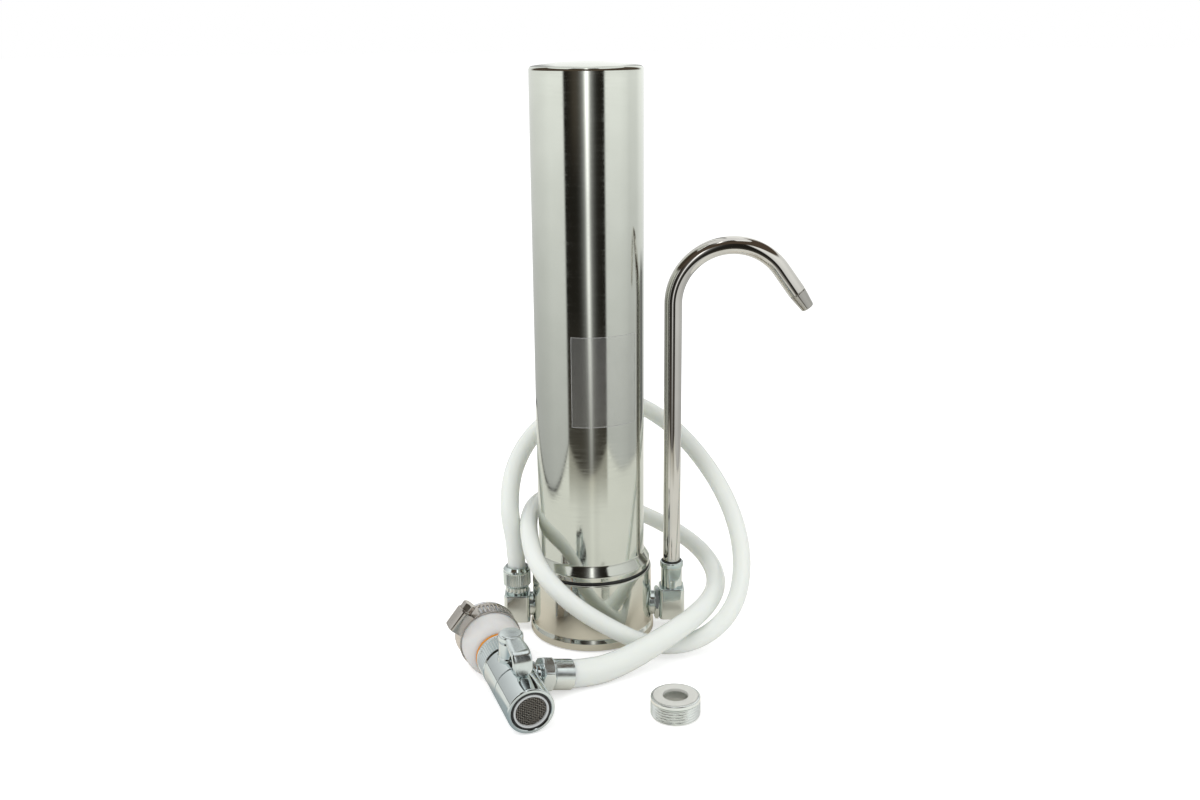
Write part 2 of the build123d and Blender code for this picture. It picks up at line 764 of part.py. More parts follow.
hose_points = [
    (-50.9, 2.1, 76), (-48.9, 14.5, 99), (-36.6, 39.3, 116), (-12, 59, 129), (20.1, 62.1, 132),
    (48.7, 47.6, 120.9), (71.7, 26.9, 99.8), (87.7, 7.2, 74.8), (93.6, -11.4, 47.8), (86.6, -32.6, 24.3),
    (63, -45.5, 8.8), (33.9, -44.5, 6.9), (8.9, -48.6, 21.8), (-13.2, -52.8, 39.2), (-32.2, -40.4, 56.3),
    (-38.5, -13.5, 68.9), (-38.1, 15.5, 72.5), (-30.6, 43.5, 70.6), (-12, 64.2, 64.7), (17, 70.9, 55.2),
    (45.9, 62.1, 45.2), (67.9, 41.4, 37.6), (78, 14.5, 32), (77, -12.4, 28.4), (65, -37.3, 25),
    (45, -54.3, 18.6), (21, -67, 7.5)]
route_base_r = 36.8      # the base's radius that these points are laid round
hose_rise = 18.5         # straight run up out of the inlet nut
hose_lead = 22.0         # straight run out of the diverter's nut
bend_share = 0.45        # share of the shorter run that each bend takes
gap_samples = 4          # points per hose radius where its gap to itself is measured
gap_apart = 20           # hose radii along it from which two points count as separate turns


def hose_route():
    place = diverter_frame() * outlet_frame()
    end = (place * Pos(0, 0, outlet_end_k)).position
    lead = (place * Pos(0, 0, outlet_end_k + hose_lead)).position
    start = [Vector(inlet_x, 0, inlet_neck_z), Vector(inlet_x, 0, inlet_neck_z + hose_rise)]
    spread = base_r - route_base_r
    turns = [Vector(x, y, z) + Vector(x, y, 0).normalized() * spread for x, y, z in hose_points]
    return start + turns + [lead, end]


def least_gap(path):
    # least gap of the hose to itself, on points along its axis
    count = round(path.length / hose_r * gap_samples)
    points = [tuple(path @ (i / count)) for i in range(count + 1)]
    apart = round(gap_apart * gap_samples)
    return min(dist(p, q) for i, p in enumerate(points) for q in points[i + apart:]) - 2 * hose_r


def hose():
    route = hose_route()
    runs = [b - a for a, b in zip(route, route[1:])]
    radii = []
    for a, b in zip(runs, runs[1:]):
        half = radians(a.get_angle(b)) / 2
        radii.append(bend_share * min(a.length, b.length) / tan(half))
    path = FilletPolyline(*route, radius=radii)
    tube = sweep(Plane(origin=path @ 0, z_dir=path % 0) * Circle(hose_r), path=path)
    section = Circle(hose_r).area
    print("hose bend radii", [round(r) for r in radii], "length", round(path.length, 1))
    print("hose volume over section times length", round(tube.volume / (section * path.length), 4))
    print("hose least gap to itself", round(least_gap(path), 2))
    return tube


# Spare tap adapter, standing by itself

spare_wall = 2.2
spare_bore_r = 7.0
spare_step_h = 6.0       # depth of the wider lower bore
spare_rim_h = 2.6        # plain rim over the outside thread
spare_thread = 0.7       # depth of the thread zone
spare_foot = 1.0
spare_washer_r = 12.2
spare_washer_t = 2.0
spare_pocket = 1.7       # the washer's seat; it stands a little proud


def spare_adapter():
    low_r = spare_r - spare_thread / 2
    body = turned((0, 0), (low_r - spare_foot, 0), (low_r, spare_foot), (low_r, spare_h - spare_rim_h),
                  (spare_r, spare_h - spare_rim_h), (spare_r, spare_h), (0, spare_h))
    body -= disc(spare_bore_r, -overrun, spare_h + overrun)
    body -= disc(low_r - spare_wall, -overrun, spare_step_h)
    body -= disc(spare_washer_r + fit_gap, spare_h - spare_pocket, spare_h + overrun)
    return Pos(spare_x, spare_y, 0) * body


def spare_washer():
    z0 = spare_h - spare_pocket
    return Pos(spare_x, spare_y, 0) * ring(spare_washer_r, spare_bore_r, z0, z0 + spare_washer_t)


fixed_nodes = [
    base_cup, base_manifold, base_plate, base_screws, foot_pad, housing_gasket, housing_tube,
    housing_neck_ring, housing_oring, filter_block, filter_wrap, filter_core, cartridge_top_cap,
    cartridge_bottom_cap, cartridge_orings, inlet_elbow, inlet_washer, inlet_nut, inlet_olive, outlet_elbow,
    outlet_locknut, outlet_washer, spout_pipe, spout_nozzle, spout_orings, spout_clip, hose,
    spare_adapter, spare_washer]
diverter_nodes = [
    diverter_body, valve_spindle, spindle_oring, diverter_lever, swivel_collar, tail_washer, tap_insert,
    tap_washer, nose_oring, tap_sleeve, clamp_band, clamp_housing, clamp_screw, diverter_nut, diverter_olive,
    aerator_shell, aerator_ring, aerator_screen, aerator_insert, aerator_washer]

os.makedirs("parts", exist_ok=True)
for make, place in [(f, Location()) for f in fixed_nodes] + [(f, diverter_frame()) for f in diverter_nodes]:
    made = make()
    pieces = made if isinstance(made, list) else made.solids()
    solids = [s for piece in pieces for s in piece.solids()]
    node = Compound([place * s for s in solids]) if len(solids) > 1 else place * solids[0]
    export_step(node, "parts/" + make.__name__ + ".step")
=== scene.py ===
import json
import math

import bmesh
import bpy
import numpy as np
from mathutils import Matrix


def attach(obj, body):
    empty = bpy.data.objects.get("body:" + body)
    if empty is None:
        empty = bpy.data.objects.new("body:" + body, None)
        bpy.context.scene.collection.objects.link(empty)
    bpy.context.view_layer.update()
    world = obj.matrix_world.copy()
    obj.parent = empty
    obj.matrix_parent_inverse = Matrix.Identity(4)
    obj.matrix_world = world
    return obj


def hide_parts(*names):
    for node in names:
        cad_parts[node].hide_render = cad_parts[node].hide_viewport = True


# Countertop water purifier. Shapes are worked out in millimetres and written to the meshes in metres.

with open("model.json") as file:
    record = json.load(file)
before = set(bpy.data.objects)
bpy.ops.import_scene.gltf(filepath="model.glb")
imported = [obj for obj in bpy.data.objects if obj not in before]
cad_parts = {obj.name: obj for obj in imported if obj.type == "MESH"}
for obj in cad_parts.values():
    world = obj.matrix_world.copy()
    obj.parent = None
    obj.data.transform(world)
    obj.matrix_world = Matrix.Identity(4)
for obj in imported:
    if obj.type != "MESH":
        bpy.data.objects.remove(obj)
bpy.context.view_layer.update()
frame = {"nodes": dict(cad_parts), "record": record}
mm = 0.001
print("frame loaded,", len(frame["nodes"]), "solids")


# Mesh helpers

meshing = {"weld": 1e-6, "sliver": 1e-7, "sharp": 38, "arcShare": 0.49, "cornerShare": 0.98, "cornerPoints": 8,
           "roundPoints": 16, "edgePoints": 6, "edgeDraw": 0.7, "hexPoints": 72, "hexEdge": 5, "hexCut": 0.985}


def rounded(corners, steps=6, closed=True):
    # outline through (x, y, radius): every corner becomes an arc that touches both of its sides
    pts = np.array(corners, float)
    out = []
    for i, (p, radius) in enumerate(zip(pts[:, :2], pts[:, 2])):
        if radius <= 0 or (not closed and i in (0, len(pts) - 1)):
            out.append(p[None])
            continue
        toA, toB = pts[i - 1, :2] - p, pts[(i + 1) % len(pts), :2] - p
        lenA, lenB = np.linalg.norm(toA), np.linalg.norm(toB)
        toA, toB = toA / lenA, toB / lenB
        half = math.acos(float(np.clip(toA @ toB, -1, 1))) / 2
        cut = min(radius / math.tan(half), meshing["arcShare"] * lenA, meshing["arcShare"] * lenB)
        radius = cut * math.tan(half)
        centre = p + (toA + toB) / np.linalg.norm(toA + toB) * radius / math.sin(half)
        start, end, turn = p + toA * cut - centre, p + toB * cut - centre, math.pi - 2 * half
        k = np.linspace(0, 1, steps + 1)[:, None]
        out.append(centre + (np.sin((1 - k) * turn) * start + np.sin(k * turn) * end) / math.sin(turn))
    return np.concatenate(out)


def outline(points, rounds, steps=6, closed=True):
    # the same from points and a list of their roundings
    return rounded(np.column_stack([points, rounds]), steps, closed)


def flatRing(rIn, rOut, z0, z1, edges, steps=6):
    # rectangle of radius and height; its edge roundings go round from the inner low corner
    return outline([(rIn, z0), (rOut, z0), (rOut, z1), (rIn, z1)], edges, steps)


def roundRing(mid, thick, z):
    # round section of half thickness thick at the radius mid
    k = np.linspace(0, 2 * np.pi, meshing["roundPoints"], endpoint=False)
    return np.column_stack([mid + thick * np.cos(k), z + thick * np.sin(k)])


def turned(profile, segments=96, ripple=None):
    # a profile of (radius, height) carried round the axis; ripple(angle, radius, height) gives a new radius
    angle = np.linspace(0, 2 * np.pi, segments, endpoint=False)[:, None]
    radius, height = np.asarray(profile, float).T
    r = np.repeat(radius[None], segments, 0)
    if ripple:
        r = ripple(angle, r, height[None])
    return np.stack([r * np.cos(angle), r * np.sin(angle), np.repeat(height[None], segments, 0)], -1)


def placed(grid, place):
    # points moved by a 4 by 4 matrix in millimetres
    return grid @ place[:3, :3].T + place[:3, 3]


def axes(origin, xDir, zDir):
    # frame with the given Z and the part of X that is square to it
    z = np.array(zDir, float) / np.linalg.norm(zDir)
    x = np.array(xDir, float) - z * np.dot(xDir, z)
    x /= np.linalg.norm(x)
    m = np.eye(4)
    m[:3, 0], m[:3, 1], m[:3, 2], m[:3, 3] = x, np.cross(z, x), z, origin
    return m


def upright(x, y=0.0):
    # frame with Z up over a point of the counter
    return axes((x, y, 0), (1, 0, 0), (0, 0, 1))


def sideways(port, side):
    # axis along X at the port's height, pointing away from the base
    return axes((0, 0, port), (0, 0, 1), (side, 0, 0))


def quadsOf(rows, cols, wrapU, wrapV, first=0):
    # corners of every cell of a grid, counted from first; a wrapped side joins its last line to its first
    a, b = np.meshgrid(np.arange(rows - (not wrapU)), np.arange(cols - (not wrapV)), indexing="ij")
    c, d = (a + 1) % rows, (b + 1) % cols
    return (np.stack([a * cols + b, c * cols + b, c * cols + d, a * cols + d], -1) + first).reshape(-1, 4)


def newMesh(name, points, quads):
    # mesh from points in metres and their quads
    mesh = bpy.data.meshes.new(name)
    mesh.from_pydata(points.reshape(-1, 3).tolist(), [], quads.tolist())
    return mesh


def smooth(mesh):
    # smooth faces, with a sharp edge where two of them meet at more than the set angle
    mesh.polygons.foreach_set("use_smooth", np.ones(len(mesh.polygons), bool))
    mesh.set_sharp_from_angle(angle=math.radians(meshing["sharp"]))


def added(name, data):
    # object of that data in the scene
    piece = bpy.data.objects.new(name, data)
    bpy.context.scene.collection.objects.link(piece)
    return piece


def settle(piece, body, slot, node=None, look=None):
    # finish, body, slot and the solid that the piece stands for
    piece.data.materials.append(looks[look or slot])
    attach(piece, body)
    if node:
        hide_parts(node)
    return piece


def skin(name, grids, body, slot, node=None, look=None, even=True, weld=True):
    # one mesh from several point grids; each is (points, wrapped in u, wrapped in v)
    points, quads, first = [], [], 0
    for grid, wrapU, wrapV in grids:
        points.append(grid.reshape(-1, 3))
        quads.append(quadsOf(*grid.shape[:2], wrapU, wrapV, first))
        first += len(points[-1])
    mesh = newMesh(name, np.concatenate(points) * mm, np.concatenate(quads))
    if weld:
        bm = bmesh.new()
        bm.from_mesh(mesh)
        bmesh.ops.remove_doubles(bm, verts=bm.verts, dist=meshing["weld"])
        bmesh.ops.dissolve_degenerate(bm, edges=bm.edges, dist=meshing["sliver"])
        bmesh.ops.recalc_face_normals(bm, faces=bm.faces)
        bm.to_mesh(mesh)
        bm.free()
    smooth(mesh)
    piece = settle(added(name, mesh), body, slot, node, look)
    if even:
        # large faces keep their own direction beside small rounded edges
        piece.modifiers.new("evenNormals", "WEIGHTED_NORMAL").keep_sharp = True
    return piece


def ringOf(profile, segments=96, place=np.eye(4), ripple=None):
    # closed profile about an axis: a solid ring
    return (placed(turned(profile, segments, ripple), place), True, True)


def bar(profile, segments=64, place=np.eye(4), ripple=None):
    # open profile that starts and ends on the axis: a solid turned body
    return (placed(turned(profile, segments, ripple), place), True, False)


def roundedSquare(half, corner):
    # one ring of points round a square: a corner's arc turned four times
    corner = min(corner, half * meshing["cornerShare"])
    k = np.linspace(0, np.pi / 2, meshing["cornerPoints"])
    arc = np.stack([np.cos(k), np.sin(k)], -1) * corner + (half - corner)
    quarter = np.array([[0, 1], [-1, 0]])
    return np.concatenate([arc @ np.linalg.matrix_power(quarter, i) for i in range(4)])


def block(width, corner, edge, z0, z1, place):
    # upright block: a rounded square carried up, drawn in by the edge rounding at both ends
    k = np.linspace(0, np.pi / 2, meshing["edgePoints"])
    inset = edge * np.concatenate([1 - np.sin(k), 1 - np.cos(k)])
    height = np.concatenate([[z0], z0 + edge * (1 - np.cos(k)), z1 - edge * (1 - np.sin(k)), [z1]])
    rings = np.stack([roundedSquare(width / 2 - i, corner - i * meshing["edgeDraw"]) for i in inset])
    rings = np.concatenate([rings[:1] * 0, rings, rings[-1:] * 0])
    grid = np.concatenate([rings, np.repeat(height[:, None, None], rings.shape[1], 1)], -1)
    return (placed(grid, place), False, True)


def hexRing(across, bore, z0, z1, edge, place):
    # hexagon nut: flats all round, its corners turned off at both ends, with a plain bore
    angle = np.linspace(0, 2 * np.pi, meshing["hexPoints"], endpoint=False)[:, None]
    flat = across / 2 / np.cos((angle + np.pi / 6) % (np.pi / 3) - np.pi / 6)
    full, cut = across / 2 / math.cos(math.pi / 6), across / 2 * meshing["hexCut"]
    k = np.linspace(0, 1, meshing["hexEdge"])
    limit = np.concatenate([[bore], cut + (full - cut) * k, full - (full - cut) * k, [bore]])
    height = np.concatenate([[z0], z0 + edge * k, z1 - edge * (1 - k), [z1]])
    r = np.minimum(flat, limit[None])
    r[:, 0] = r[:, -1] = bore
    grid = np.stack([r * np.cos(angle), r * np.sin(angle), np.repeat(height[None], len(angle), 0)], -1)
    return (placed(grid, place), True, True)


def gripProfile(bore, r, z0, z1, edge, rows):
    # ring whose outside has enough rows to carry flutes
    wall = np.column_stack([np.full(rows, r), np.linspace(z0 + edge, z1 - edge, rows)])
    return np.concatenate([[(bore, z0), (r - edge, z0)], wall, [(r - edge, z1), (bore, z1)]])


fluting = {"fade": 0.6, "reach": 2.2}


def fluted(profile, columns, place, count, depth, low, high, power=1.0):
    # ring with straight flutes between two heights, faded at both ends; columns are the segments to a flute
    def ripple(angle, r, z):
        fade = np.clip((z - low) / fluting["fade"], 0, 1) * np.clip((high - z) / fluting["fade"], 0, 1)
        wave = (0.5 + 0.5 * np.cos(count * angle)) ** power
        return r - np.where(r > r.max() - fluting["reach"], depth * fade * wave, 0)
    return ringOf(profile, count * columns, place, ripple)


def swept(x, z, normal, out, side):
    # sections carried along a line in the XZ plane: out goes along the line's normal, side along Y
    return np.stack([x[:, None] + normal[0][:, None] * out, side, z[:, None] + normal[1][:, None] * out], -1)


def threadPhase(angle, z, pitch):
    # place within one turn of a thread that climbs one pitch a turn, from 0 to 1
    return (z / pitch - angle / (2 * np.pi)) % 1.0


# Finishes

noise = {"from": 0.3, "to": 0.7, "detail": 3.0, "deep": 0.004}
plain = (1, 1, 1)
around = (1, 1, 18)       # grain that runs round an upright body
# metallic, scale and detail of the cloudy colour, detail of the grain, strength of the relief
metalKind = (1.0, 45.0, 2.0, 3.0, 0.25)
plasticKind = (0.0, 60.0, 3.0, 4.0, 0.2)


def feed(tree, node, inputs):
    # a socket is linked to the input of that name, a value is written to it
    for name, value in inputs.items():
        if isinstance(value, bpy.types.NodeSocket):
            tree.links.new(value, node.inputs[name])
        else:
            node.inputs[name].default_value = value


def made(tree, kind, inputs=None, **settings):
    # new node with its settings and inputs; gives its outputs
    node = tree.nodes.new("ShaderNode" + kind)
    for name, value in settings.items():
        setattr(node, name, value)
    feed(tree, node, inputs or {})
    return node.outputs


def newLook(name):
    # material, its node tree and its shader
    look = bpy.data.materials.new(name)
    look.use_nodes = True
    return look, look.node_tree, look.node_tree.nodes["Principled BSDF"]


def objectNoise(tree, scale, stretch=plain, detail=noise["detail"]):
    # noise on object coordinates, stretched by axis
    mapped = made(tree, "Mapping", {"Vector": made(tree, "TexCoord")["Object"], "Scale": stretch})
    return made(tree, "TexNoise", {"Vector": mapped["Vector"], "Scale": scale, "Detail": detail})["Fac"]


def spread(tree, source, low, high):
    # noise mapped to a range of values
    return made(tree, "MapRange", {"Value": source, "From Min": noise["from"], "From Max": noise["to"],
                                   "To Min": low, "To Max": high})["Result"]


def tint(tree, source, dark, light):
    # noise mapped between two colours
    ramp = tree.nodes.new("ShaderNodeValToRGB")
    for stop, at, colour in zip(ramp.color_ramp.elements, (noise["from"], noise["to"]), (dark, light)):
        stop.position, stop.color = at, (*colour, 1)
    tree.links.new(source, ramp.inputs["Fac"])
    return ramp.outputs["Color"]


def bump(tree, source, strength, depth):
    # noise as a shallow relief
    return made(tree, "Bump", {"Height": source, "Strength": strength, "Distance": depth})["Normal"]


def finish(name, kind, dark, light, rough, grain, depth, through=0.0, radius=plain, stretch=plain):
    # broad noise moves the colour, fine noise the gloss and a shallow relief; some light goes into soft materials
    metallic, broad, broadDetail, detail, strength = kind
    look, tree, shader = newLook(name)
    cloud = objectNoise(tree, broad, plain, broadDetail)
    fine = objectNoise(tree, grain, stretch, detail)
    feed(tree, shader, {"Metallic": metallic, "Base Color": tint(tree, cloud, dark, light),
                        "Roughness": spread(tree, fine, *rough), "Normal": bump(tree, fine, strength, depth),
                        "Subsurface Weight": through, "Subsurface Radius": radius, "Subsurface Scale": noise["deep"]})
    return look


# slot, dark tone, light tone, roughness from and to, grains to a metre, depth of the relief in metres, then the share
# of light that goes in, how far by colour, and the stretch of the grain
metals = {
    "polishedSteel": ("polished_steel", (0.6, 0.62, 0.565), (0.63, 0.65, 0.595), (0.045, 0.15), 60, 3e-6, 0.0, plain,
                      around),
    "polishedPipe": (None, (0.6, 0.585, 0.55), (0.65, 0.635, 0.6), (0.03, 0.08), 90, 2e-6),
    "nozzleSteel": (None, (0.4, 0.39, 0.365), (0.46, 0.45, 0.42), (0.05, 0.12), 120, 2e-6),
    "satinChrome": ("satin_chrome", (0.66, 0.725, 0.715), (0.72, 0.785, 0.775), (0.06, 0.13), 400, 4e-6),
    "diverterChrome": ("diverter_chrome", (0.655, 0.71, 0.715), (0.705, 0.76, 0.765), (0.03, 0.09), 120, 2e-6),
    "softChrome": (None, (0.69, 0.75, 0.75), (0.75, 0.81, 0.81), (0.16, 0.26), 200, 3e-6),
    "spareChrome": ("spare_chrome", (0.8, 0.83, 0.815), (0.85, 0.88, 0.865), (0.18, 0.28), 150, 3e-6),
    "clampSteel": ("clamp_steel", (0.52, 0.485, 0.45), (0.62, 0.585, 0.545), (0.14, 0.26), 300, 6e-6),
    "machinedBrass": ("brass", (0.6, 0.46, 0.22), (0.68, 0.53, 0.28), (0.15, 0.3), 300, 6e-6),
    "screenWire": ("wire_screen", (0.36, 0.33, 0.3), (0.46, 0.43, 0.4), (0.2, 0.35), 500, 4e-6)}
plastics = {
    "blackRubber": ("black_rubber", (0.01, 0.01, 0.01), (0.022, 0.022, 0.022), (0.45, 0.65), 900, 2e-5),
    "whiteHose": ("white_hose", (0.785, 0.815, 0.78), (0.8, 0.83, 0.795), (0.14, 0.22), 160, 3e-6, 0.8, (2, 1.9, 1.7)),
    "sleeveNylon": ("white_nylon", (0.64, 0.635, 0.62), (0.69, 0.685, 0.67), (0.34, 0.48), 500, 1.5e-5, 0.5,
                    (1, 0.75, 0.55)),
    "orangeSilicone": ("orange_rubber", (0.66, 0.215, 0.004), (0.73, 0.27, 0.008), (0.2, 0.35), 500, 6e-6, 0.15,
                       (1, 0.5, 0.2)),
    "greyPlastic": ("grey_plastic", (0.52, 0.54, 0.54), (0.58, 0.6, 0.6), (0.3, 0.45), 700, 8e-6),
    "darkPlastic": ("dark_plastic", (0.012, 0.012, 0.012), (0.022, 0.022, 0.022), (0.25, 0.4), 700, 8e-6),
    "creamWasher": ("cream_washer", (0.63, 0.635, 0.59), (0.68, 0.685, 0.64), (0.5, 0.65), 700, 1.5e-5, 0.2),
    "innerPlastic": ("inner_plastic", (0.74, 0.74, 0.73), (0.8, 0.8, 0.79), (0.35, 0.5), 700, 1e-5),
    "pressedCarbon": ("carbon", (0.01, 0.01, 0.011), (0.035, 0.035, 0.036), (0.75, 0.95), 1500, 1e-4),
    "filterFleece": ("fleece", (0.76, 0.76, 0.75), (0.86, 0.86, 0.85), (0.8, 0.95), 1200, 2e-4)}
looks = {}
for kind, table in ((metalKind, metals), (plasticKind, plastics)):
    for name, (slot, *values) in table.items():
        looks[name] = looks[slot or name] = finish(name, kind, *values)
for part in frame["record"]["subparts"]:
    solid = frame["nodes"][part["node"]]
    solid.data.materials.clear()
    solid.data.materials.append(looks[part["material_slot"]])
print("finishes made")


# Housing and base

housing = {"r": 32.4, "topZ": 341.6, "rise": 3.0, "wall": 1.0, "foot": 43.75, "flange": 35.9, "flangeTop": 47.25,
           "tubeZ": 52.65, "draft": 0.1, "lip": 4.0, "rounds": (0, 0.4, 0.7, 2.0, 3.0, 2.4, 0), "rows": 24}


def housingProfile(h):
    # from the inner crown down the inside, round the flange, up the outside and over the dome
    ball = (h["r"] ** 2 + h["rise"] ** 2) / (2 * h["rise"])
    k = np.linspace(0, 1, h["rows"])

    def dome(r, inset):
        # height of the ball's cap at a radius, lowered by the inset
        return h["topZ"] + h["rise"] - inset - ball + np.sqrt(ball ** 2 - r ** 2)
    inner = (h["r"] - h["wall"]) * k
    lip = h["r"] - h["lip"]
    over = lip * (1 - k[1:])
    side = outline([(inner[-1], dome(inner[-1], h["wall"])), (inner[-1], h["foot"]),
                    (h["flange"] - h["draft"], h["foot"]), (h["flange"], h["flangeTop"]), (h["r"], h["tubeZ"]),
                    (h["r"], h["topZ"]), (lip, dome(lip, 0))], h["rounds"], 8, closed=False)
    return np.concatenate([np.column_stack([inner[:-1], dome(inner[:-1], h["wall"])]), side,
                           np.column_stack([over, dome(over, 0)])])


skin("housingShell", [bar(housingProfile(housing), 192)], "housing", "polished_steel", "housing_tube")

base = {"r": 36.8, "wallR": 37.2, "foot": 38.4, "h": 42.2, "hole": 29.6, "wall": 1.2, "lift": 0.6, "cove": 7.4,
        "bead": 5.0, "inCove": 6.0, "rounds": (0.2, 0.9, 2.2, 0.9, 0.8, 0.3, 1.5, 1.0, 0.2),
        "gasket": (32.0, 35.6, 42.2, 43.7, (0.2, 0.4, 0.4, 0.2))}


def baseProfile(b):
    # top face, side, cove and bead of the foot, then back up the inside
    inR, inTop = b["wallR"] - b["wall"], b["h"] - b["wall"]
    return outline([(b["hole"], b["h"]), (b["r"], b["h"]), (b["wallR"], b["cove"]), (b["foot"], b["bead"]),
                    (b["foot"], b["lift"]), (inR, b["lift"]), (inR, b["inCove"]), (b["r"] - b["wall"], inTop),
                    (b["hole"], inTop)], b["rounds"], 8)


skin("baseShell", [ringOf(baseProfile(base), 192)], "base", "polished_steel", "base_cup")
skin("gasketRing", [ringOf(flatRing(*base["gasket"]), 160)], "base", "black_rubber", "housing_gasket", even=False)

# angles from the front in degrees
film = {"from": -18.5, "to": 55.5, "low": 139.5, "high": 193.0, "lift": 0.06, "thick": 0.05, "columns": 40, "rows": 24,
        "edge": 0.35, "edgeRise": (0.05, 0.05, 0.01, 0.01), "clear": 0.045, "edgeClear": 0.22, "haze": 220.0,
        "dark": (0.66, 0.66, 0.65), "light": (0.74, 0.74, 0.73), "rough": (0.12, 0.2)}


def filmLook(f, name, alpha):
    # clear film: mostly seen through, a little haze and its own gloss
    look, tree, shader = newLook(name)
    haze = objectNoise(tree, f["haze"])
    feed(tree, shader, {"Base Color": tint(tree, haze, f["dark"], f["light"]),
                        "Roughness": spread(tree, haze, *f["rough"]), "Alpha": alpha})
    return look


def onTube(r, angle, z):
    # point at a radius, an angle from the front and a height
    return np.stack([r * np.sin(angle), -r * np.cos(angle), z], -1)


def filmGrid(f, h):
    # patch of the tube between two angles and two heights, its thickness wrapped round it and closed at both sides
    angle = np.radians(np.linspace(f["from"], f["to"], f["columns"]))
    angle = np.concatenate([angle[:1], angle, angle[-1:]])
    z = np.linspace(f["low"], f["high"], f["rows"])
    loop = np.concatenate([z, z[::-1]])
    lift = np.repeat([f["lift"] + f["thick"], f["lift"]], f["rows"])
    r = np.repeat((h["r"] + lift)[None], len(angle), 0)
    r[0] = r[-1] = h["r"] + f["lift"] + f["thick"] / 2
    return onTube(r, angle[:, None], np.repeat(loop[None], len(angle), 0))


def filmEdge(f, h):
    # the cut edge: a flat section of four corners carried round the patch's outline
    side, one = np.linspace(0, 1, f["rows"], endpoint=False), np.ones(f["rows"])
    wide, tall = np.radians(f["to"] - f["from"]), f["high"] - f["low"]
    u = np.concatenate([side, one, 1 - side, 0 * one])
    v = np.concatenate([0 * one, side, one, 1 - side])
    inU, inV = f["edge"] / (h["r"] * wide), f["edge"] / tall
    inner = np.array([0.0, 1.0, 1.0, 0.0])
    u = u[:, None] + (0.5 - u)[:, None] * 2 * inU * inner
    v = v[:, None] + (0.5 - v)[:, None] * 2 * inV * inner
    r = h["r"] + f["lift"] + f["thick"] + np.array(f["edgeRise"]) + 0 * u
    return onTube(r, np.radians(f["from"]) + wide * u, f["low"] + tall * v)


for name, grid, ends, alpha in (("clearFilm", filmGrid, False, "clear"),
                                ("clearFilmEdge", filmEdge, True, "edgeClear")):
    looks[name] = filmLook(film, name, film[alpha])
    skin(name, [(grid(film, housing), ends, True)], "housing", "polished_steel", look=name, even=False)
print("housing and base made")


# Inlet elbow with its hose nut, on the left

# block: width, corner, edge, foot, top. neck: inner and outer radius, foot, top and roundings. collar and grip: bore,
# radius, foot, top, edge and rows. teeth and flutes: count, depth, foot, top and sharpness. spigot: radius and ends.
# band: radii and heights of the nut's groove, top band and bore
inlet = {"x": -46.7, "port": 15.2, "block": (16.0, 2.4, 0.9, 5.2, 23.1), "spigot": (6.0, 23.6, 40.0),
         "neck": (3.0, 5.7, 21.0, 35.6, (0, 0, 0.4, 0.2)), "collar": (5.0, 7.2, 24.5, 27.5, 0.35, 8),
         "teeth": (16, 0.9, 24.5, 27.5, 2.5), "grip": (5.75, 8.5, 28.6, 38.2, 0.6, 30),
         "flutes": (44, 0.42, 29.0, 37.8),
         "band": [(8.0, 37.9), (8.0, 38.2), (8.4, 38.5), (8.4, 39.3), (6.9, 40.8), (5.45, 40.8), (5.45, 38.6),
                  (5.75, 35.6)]}
inletPlace = upright(inlet["x"])


def spigot(r, inner, outer, place):
    # plain stub from the elbow into the base
    return bar([(0, inner), (r, inner), (r, outer), (0, outer)], 48, place)


skin("inletElbow", [
    block(*inlet["block"], inletPlace), ringOf(flatRing(*inlet["neck"]), 64, inletPlace),
    fluted(gripProfile(*inlet["collar"]), 10, inletPlace, *inlet["teeth"]),
    spigot(*inlet["spigot"], sideways(inlet["port"], -1))], "base", "satin_chrome", "inlet_elbow")
skin("inletNut", [fluted(np.concatenate([gripProfile(*inlet["grip"])[:-2], inlet["band"]]), 8, inletPlace,
                         *inlet["flutes"])], "base", "satin_chrome", "inlet_nut")
print("inlet made")


# Outlet elbow and spout, on the right

# collar: radius, height and rounding. nut: width across its flats, bore, both ends and edge. seal: as the inlet's neck
outlet = {"x": 49.7, "port": 15.2, "block": (15.5, 2.6, 0.9, 6.3, 26.6), "spigot": (6.0, 23.6, 44.0),
          "collar": [(5.3, 18.2, 0), (6.5, 18.2, 0), (6.5, 39.4, 0.6), (7.2, 39.8, 1.3), (7.2, 43.4, 1.5),
                     (5.3, 43.4, 0.3)],
          "nut": (18.0, 6.05, 38.95, 41.95, 0.7), "seal": (5.27, 6.1, 43.3, 44.0, (0, 0.2, 0.3, 0.3))}
outletPlace, outletSide = upright(outlet["x"]), sideways(outlet["port"], 1)
skin("outletElbow", [block(*outlet["block"], outletPlace), ringOf(rounded(outlet["collar"], 8), 96, outletPlace),
                     spigot(*outlet["spigot"], outletSide)], "base", "satin_chrome", "outlet_elbow")
skin("outletLocknut", [hexRing(*outlet["nut"], outletSide)], "base", "satin_chrome", "outlet_locknut")

spout = {"x": 49.7, "foot": 18.2, "bendZ": 205.4, "bendR": 34.7, "turn": 144.5, "run": 16.6, "r": 5.25, "wall": 0.8,
         "nozzle": 11.6, "tip": 3.9, "step": 0.5, "stepAt": 0.025, "stepWide": 0.03, "lip": 0.5, "lipAt": 0.95,
         "lipWide": 0.05, "segments": 48, "pipeRows": 260, "nozzleRows": 60}
spoutRise, spoutArc = spout["bendZ"] - spout["foot"], spout["bendR"] * math.radians(spout["turn"])
spoutLen = spoutRise + spoutArc + spout["run"]


